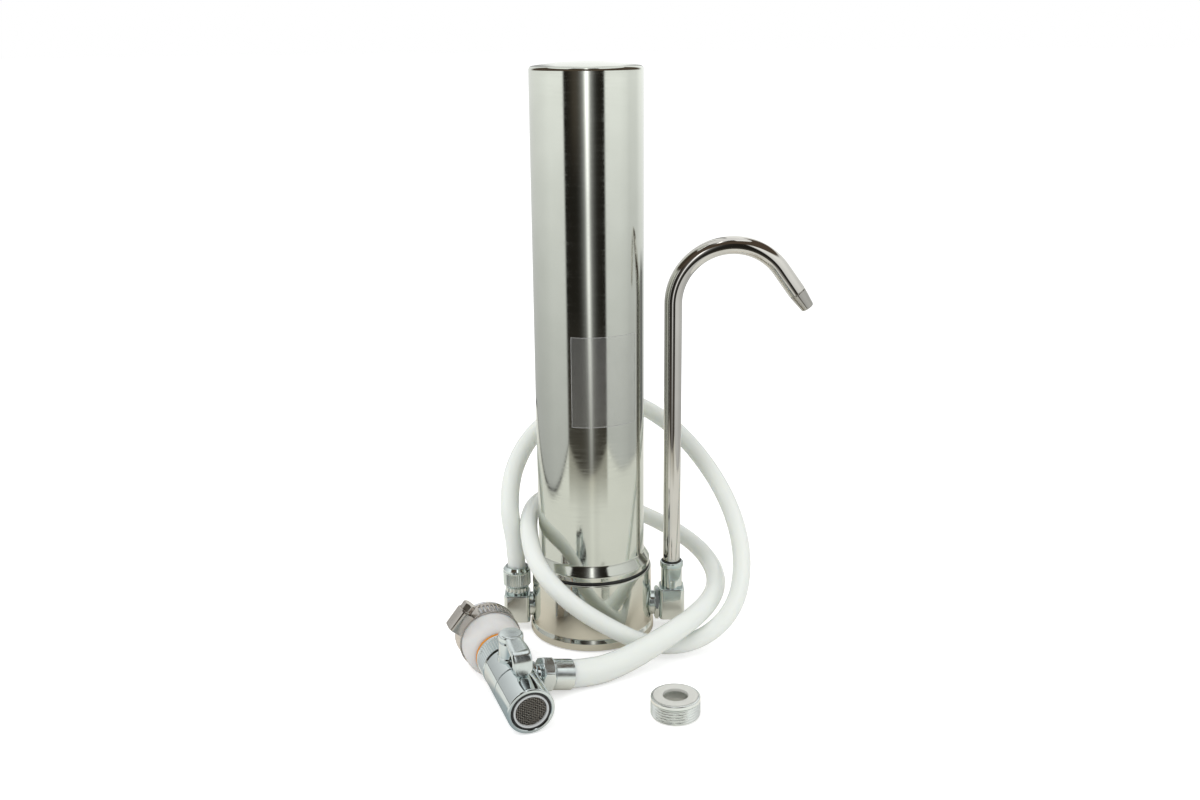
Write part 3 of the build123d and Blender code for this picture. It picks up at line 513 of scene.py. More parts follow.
def spoutGrid(s, k, outer, inner):
    # swan neck at the lengths k: rise, arc and run as one line, with radii along it; outside and bore in one loop
    lean = np.clip((k - spoutRise) / s["bendR"], 0, math.radians(s["turn"]))
    past = np.clip(k - spoutRise - spoutArc, 0, None)
    x = s["x"] + s["bendR"] * (1 - np.cos(lean)) + past * np.sin(lean)
    z = s["foot"] + np.minimum(k, spoutRise) + s["bendR"] * np.sin(lean) + past * np.cos(lean)
    a = np.linspace(0, 2 * np.pi, s["segments"], endpoint=False)
    outside, bore = [swept(x, z, (np.cos(lean), -np.sin(lean)), r[:, None] * np.cos(a), r[:, None] * np.sin(a))
                     for r in (outer, inner)]
    return (np.concatenate([outside, bore[::-1]]), True, True)


def pipeGrid(s):
    # one radius all along
    k = np.linspace(0, spoutLen, s["pipeRows"])
    return spoutGrid(s, k, np.full_like(k, s["r"]), np.full_like(k, s["r"] - s["wall"]))


def nozzleGrid(s):
    # a fine step at the joint, then an even taper with a rounded lip
    k = np.linspace(spoutLen, spoutLen + s["nozzle"], s["nozzleRows"])
    t = (k - k[0]) / (k[-1] - k[0])
    taper = s["r"] - (s["r"] - s["tip"]) * t
    step = s["step"] * np.exp(-((t - s["stepAt"]) / s["stepWide"]) ** 2)
    lip = s["lip"] * np.clip((t - s["lipAt"]) / s["lipWide"], 0, 1) ** 2
    return spoutGrid(s, k, taper - step - lip, taper - s["wall"])


skin("spoutPipe", [pipeGrid(spout)], "spout", "polished_steel", "spout_pipe", look="polishedPipe")
skin("spoutNozzle", [nozzleGrid(spout)], "spout", "polished_steel", "spout_nozzle", look="nozzleSteel")
skin("spoutEntrySeal", [ringOf(flatRing(*outlet["seal"]), 64, outletPlace)], "base", "black_rubber", even=False)
print("outlet and spout made")


# Diverter: its own frame has Z from the outlet face to the tap, Y up, X to the left. Outlines are of
# (radius, height, rounding), about the body, the lever's boss and the side outlet

diverter = {
    "yaw": 20.0, "face": (-31.6, -133.4, 13.6), "r": 13.3, "tailZ": 18.45, "length": 86.0, "lever": 38.0, "out": 40.0,
    "drop": 10.8, "seam": (12.66, 0.3, 25.0), "orange": (12.7, 0.83, 62.86),
    "body": [(5.5, 13.6, 0.2), (11.25, 13.6, 0.2), (11.25, 0.5, 0), (11.55, 0.17, 0.1), (13.3, 0.17, 1.5),
             (13.3, 24.5, 0.25), (12.5, 24.75, 0.1), (12.5, 25.25, 0.1), (13.3, 25.5, 0.25), (13.3, 46.4, 0.5),
             (9.5, 46.4, 0), (9.5, 50.3, 0), (11.3, 50.3, 0), (11.3, 52.6, 0), (5.5, 52.6, 0)],
    "boss": [(0, 6, 0), (6.8, 6, 0), (6.8, 22.4, 0.5), (6.4, 23.4, 0.3), (4.05, 23.4, 0), (4.05, 22, 0), (0, 22, 0)],
    "bossFoot": [(5, 10, 0), (7.5, 10, 0), (7.5, 13.6, 0.4), (6.9, 14.2, 0.3), (5, 14.2, 0)],
    "neck": [(2.9, 8, 0), (6.2, 8, 0), (6.2, 17.0, 0.5), (4.7, 17.0, 0), (4.7, 26, 0), (2.9, 26, 0)],
    "neckFoot": [(3, 9, 0), (7.4, 9, 0), (7.4, 13.4, 0.8), (6.1, 14.6, 0.6), (3, 14.6, 0)]}
yaw, drop = math.radians(diverter["yaw"]), math.radians(diverter["drop"])
tilt = math.asin((diverter["tailZ"] - diverter["r"]) / diverter["length"])
divPlace = axes(diverter["face"], (-math.cos(yaw), -math.sin(yaw), 0),
                (-math.sin(yaw) * math.cos(tilt), math.cos(yaw) * math.cos(tilt), math.sin(tilt)))
outPlace = divPlace @ axes((0, 0, diverter["out"]), (0, 0, 1), (-math.cos(drop), -math.sin(drop), 0))
leverPlace = divPlace @ axes((0, 0, diverter["lever"]), (0, 0, -1), (0, 1, 0))
skin("diverterBody", [
    ringOf(rounded(diverter["body"]), 160, divPlace), bar(rounded(diverter["boss"], closed=False), 80, leverPlace),
    ringOf(rounded(diverter["bossFoot"], 4), 80, leverPlace), ringOf(rounded(diverter["neck"], 5), 64, outPlace),
    ringOf(rounded(diverter["neckFoot"], 5), 64, outPlace)], "base", "diverter_chrome", "diverter_body")

collar = {"grip": (9.6, 13.5, 47.2, 62.0, 0.7, 30), "flutes": (56, 0.62, 47.9, 60.4),
          "inside": [(11.6, 62.0), (11.6, 50.0), (9.6, 50.0)]}
skin("swivelCollar", [fluted(np.concatenate([gripProfile(*collar["grip"])[:-1], collar["inside"]]), 8, divPlace,
                             *collar["flutes"])], "collar", "diverter_chrome", "swivel_collar")
skin("waistSeal", [ringOf(roundRing(*diverter["seam"]), 128, divPlace)], "base", "black_rubber", even=False)
skin("noseRing", [ringOf(roundRing(*diverter["orange"]), 96, divPlace)], "base", "orange_rubber", "nose_oring",
     even=False)

sleeve = {"z0": 63.7, "nose": 12.6, "noseLip": 0.4, "noseLen": 9.5, "r": 17.6, "insert": 9.05, "rows": 20,
          "back": [(17.6, 80.0, 0), (17.6, 96.0, 1.1), (11.2, 96.0, 0.5), (11.2, 79.4, 0), (10.9, 79.4, 0),
                   (10.9, 75.0, 0.2), (9.05, 75.0, 0)]}


def sleeveProfile(s):
    # a quarter of an ellipse from the nose to the side, then the rim, the tap's bore, its seat and the insert's hole
    k = np.linspace(0, np.pi / 2, s["rows"])
    nose = np.column_stack([s["nose"] + (s["r"] - s["nose"]) * np.sin(k),
                            s["z0"] + s["noseLip"] + s["noseLen"] * (1 - np.cos(k))])
    return np.concatenate([[(s["insert"], s["z0"]), (s["nose"] - s["noseLip"], s["z0"])], nose,
                           rounded(s["back"], closed=False)])


skin("tapSleeve", [ringOf(sleeveProfile(sleeve), 128, divPlace)], "base", "white_nylon", "tap_sleeve")

# hex: as the outlet's nut. The barrel behind it has a narrow waist and a mouth for the hose
nut = {"hex": (18.4, 4.75, 17.05, 24.05, 1.1),
       "barrel": [(4.75, 23.05, 0), (8.4, 23.05, 0), (8.4, 24.55, 0.2), (8.7, 24.95, 0.3), (8.7, 36.0, 0.2),
                  (8.4, 36.0, 0.1), (8.4, 26.0, 0), (4.75, 26.0, 0)]}
skin("diverterNut", [hexRing(*nut["hex"], outPlace), ringOf(rounded(nut["barrel"]), 96, outPlace)], "base",
     "diverter_chrome", "diverter_nut", look="softChrome")

lever = {"low": 23.7, "hub": 7.0, "hubH": 3.6, "crown": 0.25, "rounds": (0, 0.4, 1.6, 0), "reach": 17.4,
         "bend": 4.6, "drop": 12.4, "lean": math.pi / 2 * 0.92, "slope": 0.05, "wide": 5.5, "thick": 3.6, "rows": 60,
         "crowd": 0.9, "columns": 40, "square": 0.45, "tip": 7.0, "tipPower": 2.6, "tipThin": 6.0, "root": 0.72,
         "rootLen": 14.0}


def leverArm(v):
    # rounded strap: its centre line runs out from the hub, bends down and ends in a rounded shield
    arc = v["bend"] * v["lean"]
    total = v["reach"] + arc + v["drop"] - v["bend"]
    s = np.linspace(0, 1, v["rows"]) ** v["crowd"] * total
    flat = np.minimum(s, v["reach"])
    lean = np.clip((s - v["reach"]) / v["bend"], 0, v["lean"])
    past = np.clip(s - v["reach"] - arc, 0, None)
    x = flat + v["bend"] * np.sin(lean) + past * np.cos(lean)
    z = v["low"] + v["hubH"] / 2 - v["slope"] * flat - v["bend"] * (1 - np.cos(lean)) - past * np.sin(lean)
    left = (total - s) / v["tip"]
    shield = np.sqrt(np.clip(1 - np.clip(1 - left, 0, 1) ** v["tipPower"], 0, 1))
    wide = v["wide"] * shield * (v["root"] + (1 - v["root"]) * np.clip(s / v["rootLen"], 0, 1))
    thick = v["thick"] / 2 * np.clip(left * v["tipThin"], 0, 1) ** 0.5
    # section: a circle drawn out towards its corners
    a = np.linspace(0, 2 * np.pi, v["columns"], endpoint=False)
    across, through = [np.sign(w) * np.abs(w) ** v["square"] for w in (np.cos(a), np.sin(a))]
    grid = swept(x, z, (np.sin(lean), np.cos(lean)), thick[:, None] * through, wide[:, None] * across)
    return np.concatenate([np.full((1, v["columns"], 3), (x[0], 0, z[0])), grid])


hubTop = lever["low"] + lever["hubH"]
hubProfile = outline([(0, lever["low"]), (lever["hub"], lever["low"]), (lever["hub"], hubTop),
                      (0, hubTop + lever["crown"])], lever["rounds"], 8, closed=False)
skin("diverterLever", [bar(hubProfile, 72, leverPlace), (placed(leverArm(lever), leverPlace), False, True)], "lever",
     "diverter_chrome", "diverter_lever", look="softChrome")
print("diverter made")


# Clamp on the sleeve

clamp = {"r": 17.65, "t": 0.8, "z0": 80.0, "z1": 92.0, "turn": 52.0, "slots": 9, "first": -14.0, "step": 8.0,
         "slotW": 1.3, "slotL": 7.5, "fill": 110, "edge": 0.5, "bow": 0.25, "gap": 0.02, "sheet": 0.62,
         "len": 13.0, "h": 7.4, "side": 0.3, "foot": -1.0, "spring": 1.2, "square": 0.42, "hollow": (0.82, 0.84),
         "arch": 20, "endShare": 0.46, "endDraw": 0.965}
turn, clampMid = math.radians(clamp["turn"]), (clamp["z0"] + clamp["z1"]) / 2
clampR = clamp["r"] + clamp["t"]
wormPlace = divPlace @ axes((clampR * math.sin(turn), clampR * math.cos(turn), clampMid),
                            (-math.cos(turn), math.sin(turn), 0), (math.sin(turn), math.cos(turn), 0))


def clampBand(c):
    # band as a sheet of quads with the slots left open, then given its thickness
    slots = c["first"] + c["step"] * np.arange(c["slots"])
    half = math.degrees(c["slotW"] / 2 / c["r"])
    fill = np.linspace(c["first"] + c["step"] * c["slots"], c["first"] + 360 - c["step"], c["fill"])
    angle = np.radians(np.concatenate([np.column_stack([slots - half, slots + half]).ravel(), fill]))
    z = np.array([c["z0"], c["z0"] + c["edge"], clampMid - c["slotL"] / 2, clampMid, clampMid + c["slotL"] / 2,
                  c["z1"] - c["edge"], c["z1"]])
    r = c["r"] + c["gap"] + c["bow"] * np.isin(z, (c["z0"], c["z1"]))
    a = angle[:, None]
    grid = np.stack([-np.sin(a) * r, np.cos(a) * r, np.repeat(z[None], len(angle), 0)], -1)
    quads = quadsOf(len(angle), len(z), True, False).reshape(len(angle), len(z) - 1, 4)
    keep = np.ones(quads.shape[:2], bool)
    keep[0:2 * c["slots"]:2, 2:4] = False
    mesh = newMesh("clampBand", placed(grid, divPlace) * mm, quads[keep])
    smooth(mesh)
    piece = added("clampBand", mesh)
    wall = piece.modifiers.new("thickness", "SOLIDIFY")
    wall.thickness, wall.offset = c["sheet"] * mm, 1.0
    return settle(piece, "base", "clamp_steel", "clamp_band")


def wormCover(c):
    # bent cover over the screw: an arch section with feet on the band, carried along the screw
    k = np.linspace(0, np.pi, c["arch"])
    half = (c["z1"] - c["z0"]) / 2 - c["side"]
    bend = np.column_stack([np.sign(np.cos(k)) * np.abs(np.cos(k)) ** c["square"] * half,
                            c["spring"] + np.abs(np.sin(k)) ** c["square"] * (c["h"] - c["spring"])])
    outer = np.concatenate([[(half, c["foot"])], bend, [(-half, c["foot"])]])
    inner = outer[::-1] * c["hollow"]
    loop = np.concatenate([outer, inner])
    middle = (outer + inner[::-1]) / 2
    closed = np.concatenate([middle, middle[::-1]])
    along = np.array([-0.5, -0.5, -c["endShare"], c["endShare"], 0.5, 0.5]) * c["len"]
    draw = np.where(np.abs(along) < c["len"] / 2, 1.0, c["endDraw"])[:, None, None]
    section = np.stack([closed, loop, loop, loop, loop, closed]) * draw
    return np.concatenate([np.repeat(along[:, None, None], len(loop), 1), section], -1)


clampBand(clamp)
skin("clampCover", [(placed(wormCover(clamp), wormPlace), False, True)], "base", "clamp_steel", "clamp_housing")

# head: as the outlet's nut. washer: as the inlet's neck, with the steps of its arcs
screw = {"lift": 3.7, "r": 2.7, "core": 2.0, "pitch": 1.6, "ridge": 0.5, "rows": 90, "past": 0.4,
         "head": (7.0, 0.0, 6.7, 11.6, 0.6), "washer": (2.9, 4.4, 6.6, 7.4, (0, 0.2, 0.2, 0), 4)}
screwPlace = wormPlace @ axes((0, 0, screw["lift"]), (0, 0, -1), (1, 0, 0))
shank = clamp["len"] / 2


def wormThread(angle, r, z):
    # screw thread with rounded ridges
    ridge = 0.5 + 0.5 * np.cos(2 * np.pi * threadPhase(angle, z, screw["pitch"]))
    return np.where((r > screw["core"]) & (z < shank), r - screw["ridge"] * ridge, r)


threadZ = np.linspace(-shank, shank + screw["past"], screw["rows"])
threadOutline = np.concatenate([[(0, threadZ[0])], np.column_stack([np.full(screw["rows"], screw["r"]), threadZ]),
                                [(0, threadZ[-1])]])
skin("clampScrew", [bar(threadOutline, 48, screwPlace, wormThread), hexRing(*screw["head"], screwPlace),
                    ringOf(flatRing(*screw["washer"]), 48, screwPlace)], "screw", "clamp_steel", "clamp_screw")
print("clamp made")


# Aerator: rings of inner radius, outer radius, front, back and roundings

aerator = {"shell": (9.85, 11.2, 0.7, 12.0, (0.2, 0.4, 0.3, 0.3)), "ring": (8.7, 9.8, 0.0, 3.0, (0.5, 0.3, 0.2, 0.2)),
           "screen": 1.5, "pitch": 1.05, "wires": 8, "wire": 0.24, "weave": 0.95, "slack": 0.08, "shortest": 0.8,
           "rows": 72, "sides": 6, "back": [(0, 2.2), (8.65, 2.2), (8.65, 1.9), (0, 1.9)]}
skin("aeratorShell", [ringOf(flatRing(*aerator["shell"]), 96, divPlace)], "base", "dark_plastic", "aerator_shell",
     even=False)
skin("aeratorRing", [ringOf(flatRing(*aerator["ring"]), 96, divPlace)], "base", "grey_plastic", "aerator_ring",
     even=False)


def screenWires(a, flip):
    # woven wires: each is a round bar that waves over and under the wires that cross it
    rows = np.arange(-a["wires"], a["wires"] + 1)
    y = rows * a["pitch"]
    half = np.sqrt(np.clip((a["ring"][0] - a["slack"]) ** 2 - y ** 2, 0.0, None))
    use = half > a["shortest"]
    y, half, rows = y[use], half[use], rows[use]
    t = np.linspace(-1, 1, a["rows"])
    t = np.concatenate([t[:1], t, t[-1:]])
    x = half[:, None] * t
    wave = a["wire"] * a["weave"] * np.cos(np.pi * (x / a["pitch"] + rows[:, None] + flip))
    k = np.linspace(0, 2 * np.pi, a["sides"], endpoint=False)
    thick = np.where(np.arange(len(t)) % (len(t) - 1) == 0, 0.0, a["wire"])[:, None]
    px = np.repeat(x[..., None], a["sides"], -1)
    py = y[:, None, None] + thick * np.cos(k) + np.zeros_like(px)
    pz = a["screen"] + wave[..., None] + thick * np.sin(k)
    grid = np.stack([py, px, pz] if flip else [px, py, pz], -1)
    return [(placed(g, divPlace), False, True) for g in grid]


skin("aeratorScreen", screenWires(aerator, 0) + screenWires(aerator, 1), "base", "wire_screen", "aerator_screen",
     even=False, weld=False)
skin("screenBacking", [bar(aerator["back"], 64, divPlace)], "base", "dark_plastic", even=False)
print("aerator made")


# Spare tap adapter

spare = {"x": 45.8, "y": -113.0, "foot": [(11.15, 0.0), (12.3, 0.0)], "wallR": 13.35, "wall": (0.7, 9.0), "rows": 90,
         "top": [(12.85, 9.05, 0), (13.7, 9.6, 0.3), (13.7, 11.7, 0.9), (12.25, 11.7, 0.1), (12.25, 10.0, 0),
                 (7.0, 10.0, 0), (7.0, 6.0, 0.2), (11.15, 6.0, 0)],
         "pitch": 1.55, "thread": 0.8, "threadOut": 0.35, "ridge": (1.35, 0.15), "threadR": 12.9, "threadZ": (0.9, 8.8),
         "washer": (7.0, 12.2, 10.0, 12.0, (0.2, 0.2, 0.15, 0.3))}
sparePlace = upright(spare["x"], spare["y"])


def adapterThread(angle, r, z):
    # outside thread under the rim, with pointed ridges cut flat at the top
    steep, cut = spare["ridge"]
    low, high = spare["threadZ"]
    valley = np.clip(steep * np.abs(2 * threadPhase(angle, z, spare["pitch"]) - 1) - cut, 0, 1)
    zone = (r > spare["threadR"]) & (z > low) & (z < high)
    return np.where(zone, r + spare["threadOut"] - spare["thread"] * valley, r)


# foot, threaded wall, rim, the washer's seat, the bore and the socket under it
wall = np.column_stack([np.full(spare["rows"], spare["wallR"]), np.linspace(*spare["wall"], spare["rows"])])
adapterOutline = np.concatenate([spare["foot"], wall, rounded(spare["top"], closed=False)])
skin("spareAdapter", [ringOf(adapterOutline, 160, sparePlace, adapterThread)], "spare", "spare_chrome",
     "spare_adapter")
skin("spareWasher", [ringOf(flatRing(*spare["washer"]), 96, sparePlace)], "spare", "cream_washer", "spare_washer",
     even=False)
print("spare adapter made")


# Hose

# the swells make the hose a little thicker towards its two nuts, point by point from each end
hose = {"r": 5.4, "start": (-46.7, 0, 35.6), "rise": 18.5, "end": 26.0, "lead": 22.0, "length": 0.867, "order": 3,
        "steps": 10, "sides": 8, "swell": [1.0, 1.05, 1.07, 1.06, 1.04],
        "swellEnd": [1.05, 1.1, 1.16, 1.25, 1.38, 1.5, 1.52]}
hosePoints = [
    (-50.9, 2.1, 76), (-48.9, 14.5, 99), (-36.6, 39.3, 116), (-12, 59, 129), (20.1, 62.1, 132),
    (48.7, 47.6, 120.9), (71.7, 26.9, 99.8), (87.7, 7.2, 74.8), (93.6, -11.4, 47.8), (86.6, -32.6, 24.3),
    (63, -45.5, 8.8), (33.9, -44.5, 6.9), (8.9, -48.6, 21.8), (-13.2, -52.8, 39.2), (-32.2, -40.4, 56.3),
    (-38.5, -13.5, 68.9), (-38.1, 15.5, 72.5), (-30.6, 43.5, 70.6), (-12, 64.2, 64.7), (17, 70.9, 55.2),
    (45.9, 62.1, 45.2), (67.9, 41.4, 37.6), (78, 14.5, 32), (77, -12.4, 28.4), (65, -37.3, 25),
    (45, -54.3, 18.6), (21, -67, 9.5)]


def hoseCurve(h):
    # smooth line with the route's points as its control points, round section
    first = [h["start"], np.add(h["start"], (0, 0, h["rise"]))]
    last = [placed(np.array([0, 0, k]), outPlace) for k in (h["end"] + h["lead"], h["end"])]
    route = np.concatenate([first, hosePoints, last]) * mm
    thick = np.ones(len(route))
    thick[:len(h["swell"])], thick[-len(h["swellEnd"]):] = h["swell"], h["swellEnd"]
    data = bpy.data.curves.new("waterHose", "CURVE")
    data.dimensions = "3D"
    line = data.splines.new("NURBS")
    line.points.add(len(route) - 1)
    line.points.foreach_set("co", np.column_stack([route, np.ones(len(route))]).ravel())
    line.points.foreach_set("radius", thick)
    line.order_u = h["order"]
    line.use_endpoint_u = True
    line.resolution_u = h["steps"]
    data.bevel_depth = h["r"] * mm
    data.bevel_resolution = h["sides"]
    data.use_fill_caps = True
    return settle(added("waterHose", data), "base", "white_hose", "hose")


hosePiece = hoseCurve(hose)
print("hose made")


# Stage: white floor, soft light, a ring of cards that only reflections see. Its sizes are in metres

# key and fill: power, size and place
light = {"world": 0.80, "mirrored": 1.0, "key": (6.6, 0.9, (-0.7, -0.6, 1.3)), "fill": (2.6, 1.2, (0.9, -0.7, 0.9)),
         "aim": (0, -0.03, 0.1)}
floor = {"tone": 0.86, "glow": 0.55, "mirrorGlow": 0.04, "rough": 0.9, "z": -0.0002, "columns": 361,
         "rings": ([0.0, 0.03], (0.05, 0.3, 41), [0.36, 0.5, 1.0, 4.0, 30.0]),
         "near": (0.95, 0.86, 0.755), "far": (0.85, 0.85, 0.80), "fadeFrom": 0.075, "fadeLen": 0.07,
         # streak and dip paint a highlight towards the front, and shade round it, into the floor's tone in reflections
         "streak": 0.14, "streakAt": (3, 4), "dip": 0.12, "dipAt": (-26, 14, 12),
         # the last three paint shade along the diverter's left side into the floor's tone in reflections
         "paintedShade": (0.50, 0.43, 0.38), "paintedShadeAlong": (-0.03, 0.07, 0.03), "paintedShadeAside": (0.0, 0.055, 0.02)}


def between(value, low, high, soft):
    # 1 between two limits, falling to 0 over the soft width
    return np.clip((value - low) / soft + 0.5, 0, 1) * np.clip((high - value) / soft + 0.5, 0, 1)


def hump(value, middle, width):
    # bell curve of height 1
    return np.exp(-0.5 * ((value - middle) / width) ** 2)


def plane(name, grid, colours, look):
    # stage mesh with a colour at every point
    mesh = newMesh(name, grid, quadsOf(*grid.shape[:2], False, False))
    mesh.materials.append(look)
    mesh.attributes.new("shade", "FLOAT_COLOR", "POINT").data.foreach_set("color", colours.ravel())
    piece = added(name, mesh)
    return piece


# angles are in degrees from the front, left negative; At and Z hold a range or a place with its soft width, or the
# places of a table
cards = {"radius": 0.27, "height": 0.9, "columns": 541, "lowTop": 0.08, "lowRows": 33, "rows": 83,
         "panel": (0.99, 1.0, 0.985), "rise": (0.61, 0.83, 2.9), "most": 1.2,
         "levelAt": [-180, -150, -95, -75, 65, 80, 90, 112, 128, 180],
         "level": [0.95, 0.78, 0.92, 1.0, 1.0, 0.93, 0.84, 0.84, 1.0, 0.95],
         "patch": 0.75, "patchAt": (128, 146, 4), "patchZ": (0, 0.19, 0.02), "line": 0.8, "lineAt": (164, 171, 3),
         "bandAt": (-43.5, 34.5, 4), "dark": (0.020, 0.018, 0.015), "darkLow": 2.6, "darkLowZ": (0.16, 0.1),
         "sheen": (0.055, 0.045, 0.035), "sheenAt": (-20, 7), "sheenZ": (0.25, 0.06),
         "driftZ": [0.058, 0.18, 0.23, 0.27], "drift": [2.7, 1.2, 1.0, 1.0],
         "streakZ": [0.03, 0.058, 0.12, 0.18, 0.23, 0.27, 0.31, 0.36],
         "streak": [0.2, 0.33, 0.7, 1.0, 1.05, 1.3, 1.7, 2.2], "streakWide": 2.6, "halo": 0.36, "haloWide": 7.0,
         "upper": (0.10, 0.075, 0.055), "upperZ": (0.348, 0.63, 0.02), "upperAt": (-132, 132, 16),
         "feet": [(0.006, -86, 1.7e-5, 2.4e-5), (0.027, -4, 1.69753e-5, 1.69753e-5), (0.029, 72, 1.8e-5, 6e-6)],
         "footMost": 0.07, "footSoft": 0.005, "rim": 0.85, "rimH": 0.006, "rimSoft": 0.003, "rimAt": (-160, -43, 6),
         "low": (0.29, 0.27, 0.215), "lowStreak": 1.1, "lowStreakAt": (3, 5), "lowCover": 0.75, "lowCoverZ": 0.03}


def cardFoot(c, a):
    # each panel ends over the floor in a parabola that hangs lowest at its middle, other on its two sides
    left, mid, right = [low + np.where(a < at, before, after) * (a - at) ** 2 for low, at, before, after in c["feet"]]
    foot = np.where(a < c["bandAt"][0], left, np.where(a < c["bandAt"][1], mid, right))
    return np.minimum(foot, c["footMost"])


def cardColours(c, a, z):
    # colour and cover of the ring by its angle and its height
    flat, slope, curve = c["rise"]
    level = np.minimum(flat + slope * z + curve * z ** 2, c["most"]) * np.interp(a, c["levelAt"], c["level"])
    level = level * (1 - c["patch"] * between(a, *c["patchAt"]) * between(z, *c["patchZ"]))
    level = level * (1 - c["line"] * between(np.abs(a), *c["lineAt"]))
    colour = level[..., None] * c["panel"]
    # dark band in front, paler near the floor and with a dull sheen high up
    inBand = between(a, *c["bandAt"])
    top, fade = c["darkLowZ"]
    dark = np.array(c["dark"]) * (1 + c["darkLow"] * np.clip((top - z) / fade, 0, 1))[..., None]
    start, fade = c["sheenZ"]
    dark = dark + np.array(c["sheen"]) * (hump(a, *c["sheenAt"]) * np.clip((z - start) / fade, 0, 1))[..., None]
    colour = colour * (1 - inBand[..., None]) + dark * inBand[..., None]
    # a narrow bright streak in the dark band with a softer one round it, weaker towards the floor
    middle = np.interp(z, c["driftZ"], c["drift"])
    streak = np.interp(z, c["streakZ"], c["streak"]) \
        * (hump(a, middle, c["streakWide"]) + c["halo"] * hump(a, middle, c["haloWide"]))
    # dark over the panels in front, so that the tube's top edge has a line
    over = (between(z, *c["upperZ"]) * between(a, *c["upperAt"]))[..., None]
    colour = (colour + streak[..., None]) * (1 - over) + np.array(c["upper"]) * over
    # a dark rim along the left panel's foot, then the clear part under the feet
    foot = cardFoot(c, a)
    colour = colour * (1 - between(z, foot, foot + c["rimH"], c["rimSoft"]) * between(a, *c["rimAt"])
                       * c["rim"])[..., None]
    below = np.clip((foot - z) / c["footSoft"] + 0.5, 0, 1)
    low = np.array(c["low"]) * (1 + c["lowStreak"] * hump(a, *c["lowStreakAt"]))[..., None]
    colour = colour * (1 - below)[..., None] + low * below[..., None]
    cover = 1 - below * (1 - inBand * c["lowCover"] * np.clip(z / c["lowCoverZ"], 0, 1))
    return np.concatenate([colour, cover[..., None]], -1)


def cardLook():
    # glowing card that lets light through where its cover is low
    look, tree, shader = newLook("reflectionCards")
    tree.nodes.remove(shader)
    shade = made(tree, "Attribute", attribute_name="shade")
    mixed = made(tree, "MixShader", {"Fac": shade["Alpha"], 1: made(tree, "BsdfTransparent")[0],
                                     2: made(tree, "Emission", {"Color": shade["Color"]})[0]})
    feed(tree, tree.nodes["Material Output"], {"Surface": mixed[0]})
    return look


def cardRing(c):
    # upright ring of cards round the object
    z = np.concatenate([np.linspace(0.0, c["lowTop"], c["lowRows"])[:-1],
                        np.linspace(c["lowTop"], c["height"], c["rows"])])
    angle, height = np.meshgrid(np.linspace(-180, 180, c["columns"]), z, indexing="ij")
    grid = onTube(c["radius"], np.radians(angle), height)
    ring = plane("reflectionCards", grid, cardColours(c, angle, height), cardLook())
    ring.visible_camera = ring.visible_diffuse = ring.visible_shadow = ring.visible_transmission = False


def floorLook(f):
    # white to the camera with a soft shadow left, and with its own tone where metal reflects it
    look, tree, shader = newLook("paleFloor")
    path = made(tree, "LightPath")
    shade = made(tree, "Attribute", attribute_name="shade")["Color"]
    tone = made(tree, "Mix", {"Factor": path["Is Glossy Ray"], "A": (f["tone"],) * 3 + (1,), "B": shade},
                data_type="RGBA")["Result"]
    seen = made(tree, "Math", {0: path["Is Camera Ray"], 1: f["glow"]}, operation="MULTIPLY")[0]
    glow = made(tree, "Math", {0: path["Is Glossy Ray"], 1: f["mirrorGlow"], 2: seen}, operation="MULTIPLY_ADD")[0]
    feed(tree, shader, {"Roughness": f["rough"], "Specular IOR Level": 0.0, "Base Color": tone,
                        "Emission Color": tone, "Emission Strength": glow})
    return look


def floorTones(f, a, grid):
    # tone of the floor in reflections: warm close to the base, paler further out, with a painted highlight as a pale
    # streak towards the front and painted shade in a darker band round it
    r = np.hypot(grid[..., 0], grid[..., 1])
    out = np.clip((r - f["fadeFrom"]) / f["fadeLen"], 0, 1)[..., None]
    tone = np.array(f["near"]) * (1 - out) + np.array(f["far"]) * out
    # painted highlight: the pale streak, with painted shade in a darker band round it
    front = f["streak"] * hump(a, *f["streakAt"]) - f["dip"] * between(a, *f["dipAt"])
    tone = tone * (1 + front[..., None] * out)
    # painted shade: cooler and darker along the diverter's left side
    x, y = grid[..., 0] - diverter["face"][0] * mm, grid[..., 1] - diverter["face"][1] * mm
    along, aside = y * math.cos(yaw) - x * math.sin(yaw), -x * math.cos(yaw) - y * math.sin(yaw)
    paintedShade = between(along, *f["paintedShadeAlong"]) * between(aside, *f["paintedShadeAside"])
    tone = tone * (1 - paintedShade[..., None] * np.array(f["paintedShade"]))
    return np.concatenate([tone, np.ones(a.shape + (1,))], -1)


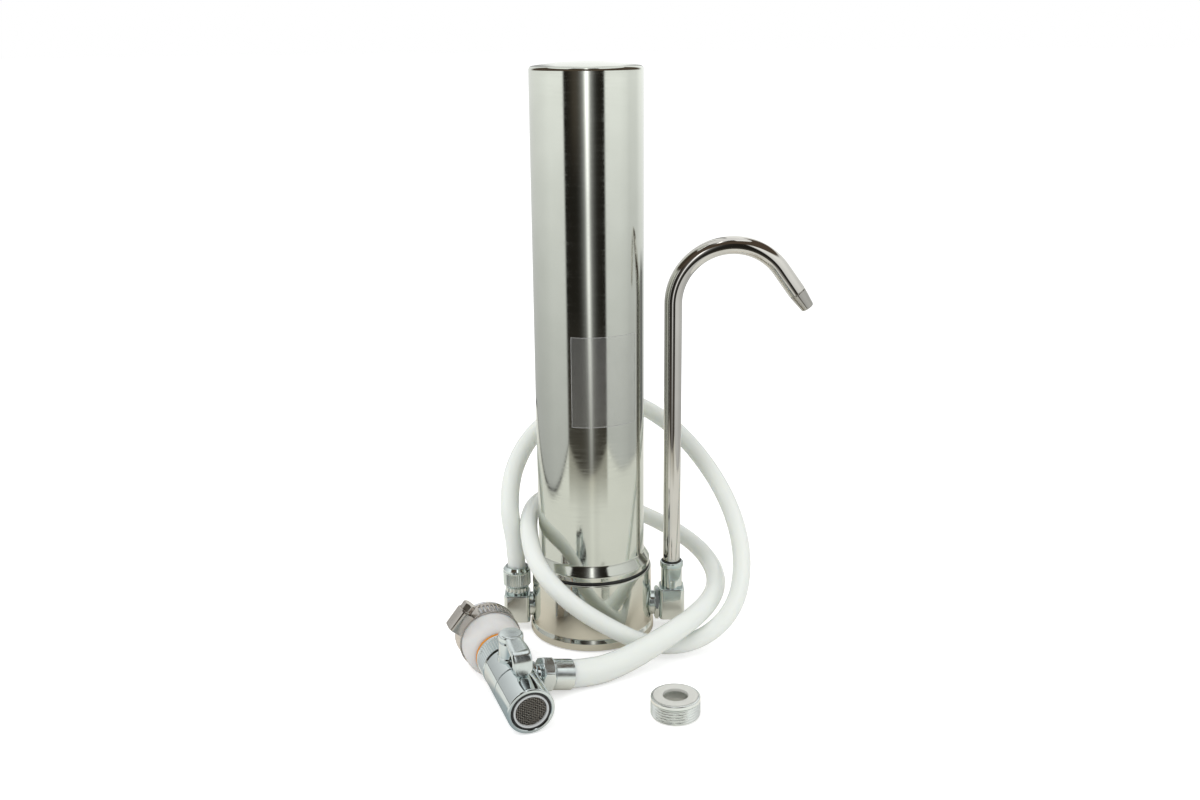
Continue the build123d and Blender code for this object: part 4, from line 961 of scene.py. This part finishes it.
def floorDisc(f):
    # polar grid, fine where it is reflected and then out to the horizon
    inner, fine, outer = f["rings"]
    angle, r = np.meshgrid(np.linspace(-180, 180, f["columns"]), np.concatenate([inner, np.linspace(*fine), outer]),
                           indexing="ij")
    grid = onTube(r, np.radians(angle), np.full(r.shape, f["z"]))
    plane("floor", grid, floorTones(f, angle, grid), floorLook(f))


def whiteWorld(w):
    # even light, a little stronger for rays from the camera and from shiny or clear surfaces
    world = bpy.data.worlds.new("studio")
    bpy.context.scene.world = world
    world.use_nodes = True
    tree = world.node_tree
    path = made(tree, "LightPath")
    shiny = made(tree, "Math", {0: path["Is Camera Ray"], 1: path["Is Glossy Ray"]}, operation="MAXIMUM")[0]
    seen = made(tree, "Math", {0: shiny, 1: path["Is Transmission Ray"]}, operation="MAXIMUM")[0]
    level = made(tree, "MapRange", {"Value": seen, "To Min": w["world"], "To Max": w["mirrored"]})["Result"]
    feed(tree, tree.nodes["Background"], {"Color": (1, 1, 1, 1), "Strength": level})


def lamp(name, power, size, place, aim):
    # square lamp that points from its place to the aim and shows in no reflection
    data = bpy.data.lights.new(name, "AREA")
    data.energy, data.size = power, size
    piece = added(name, data)
    piece.matrix_world = Matrix(axes(place, (1, 0, 0.001), np.subtract(place, aim)).tolist())
    piece.visible_glossy = False


cardRing(cards)
floorDisc(floor)
whiteWorld(light)
lamp("keyLamp", *light["key"], light["aim"])
lamp("fillLamp", *light["fill"], light["aim"])

camera = {"place": (6.135, -747.04, 357.53), "pitch": 15.721, "roll": -0.526, "lens": 38.767, "sensor": 36.0,
          "near": 0.01}
pitch, roll = math.radians(camera["pitch"]), math.radians(camera["roll"])
ahead = np.array([0, math.cos(pitch), -math.sin(pitch)])
upDir = np.array([0, math.sin(pitch), math.cos(pitch)])
rightDir = np.array([1.0, 0, 0]) * math.cos(roll) + upDir * math.sin(roll)
lens = bpy.data.cameras.new("camera")
lens.sensor_width, lens.lens, lens.clip_start = camera["sensor"], camera["lens"], camera["near"]
eye = added("camera", lens)
eye.matrix_world = Matrix(axes(np.array(camera["place"]) * mm, rightDir, -ahead).tolist())
bpy.context.scene.camera = eye
bpy.context.scene.view_settings.view_transform = "Standard"
print("stage made")
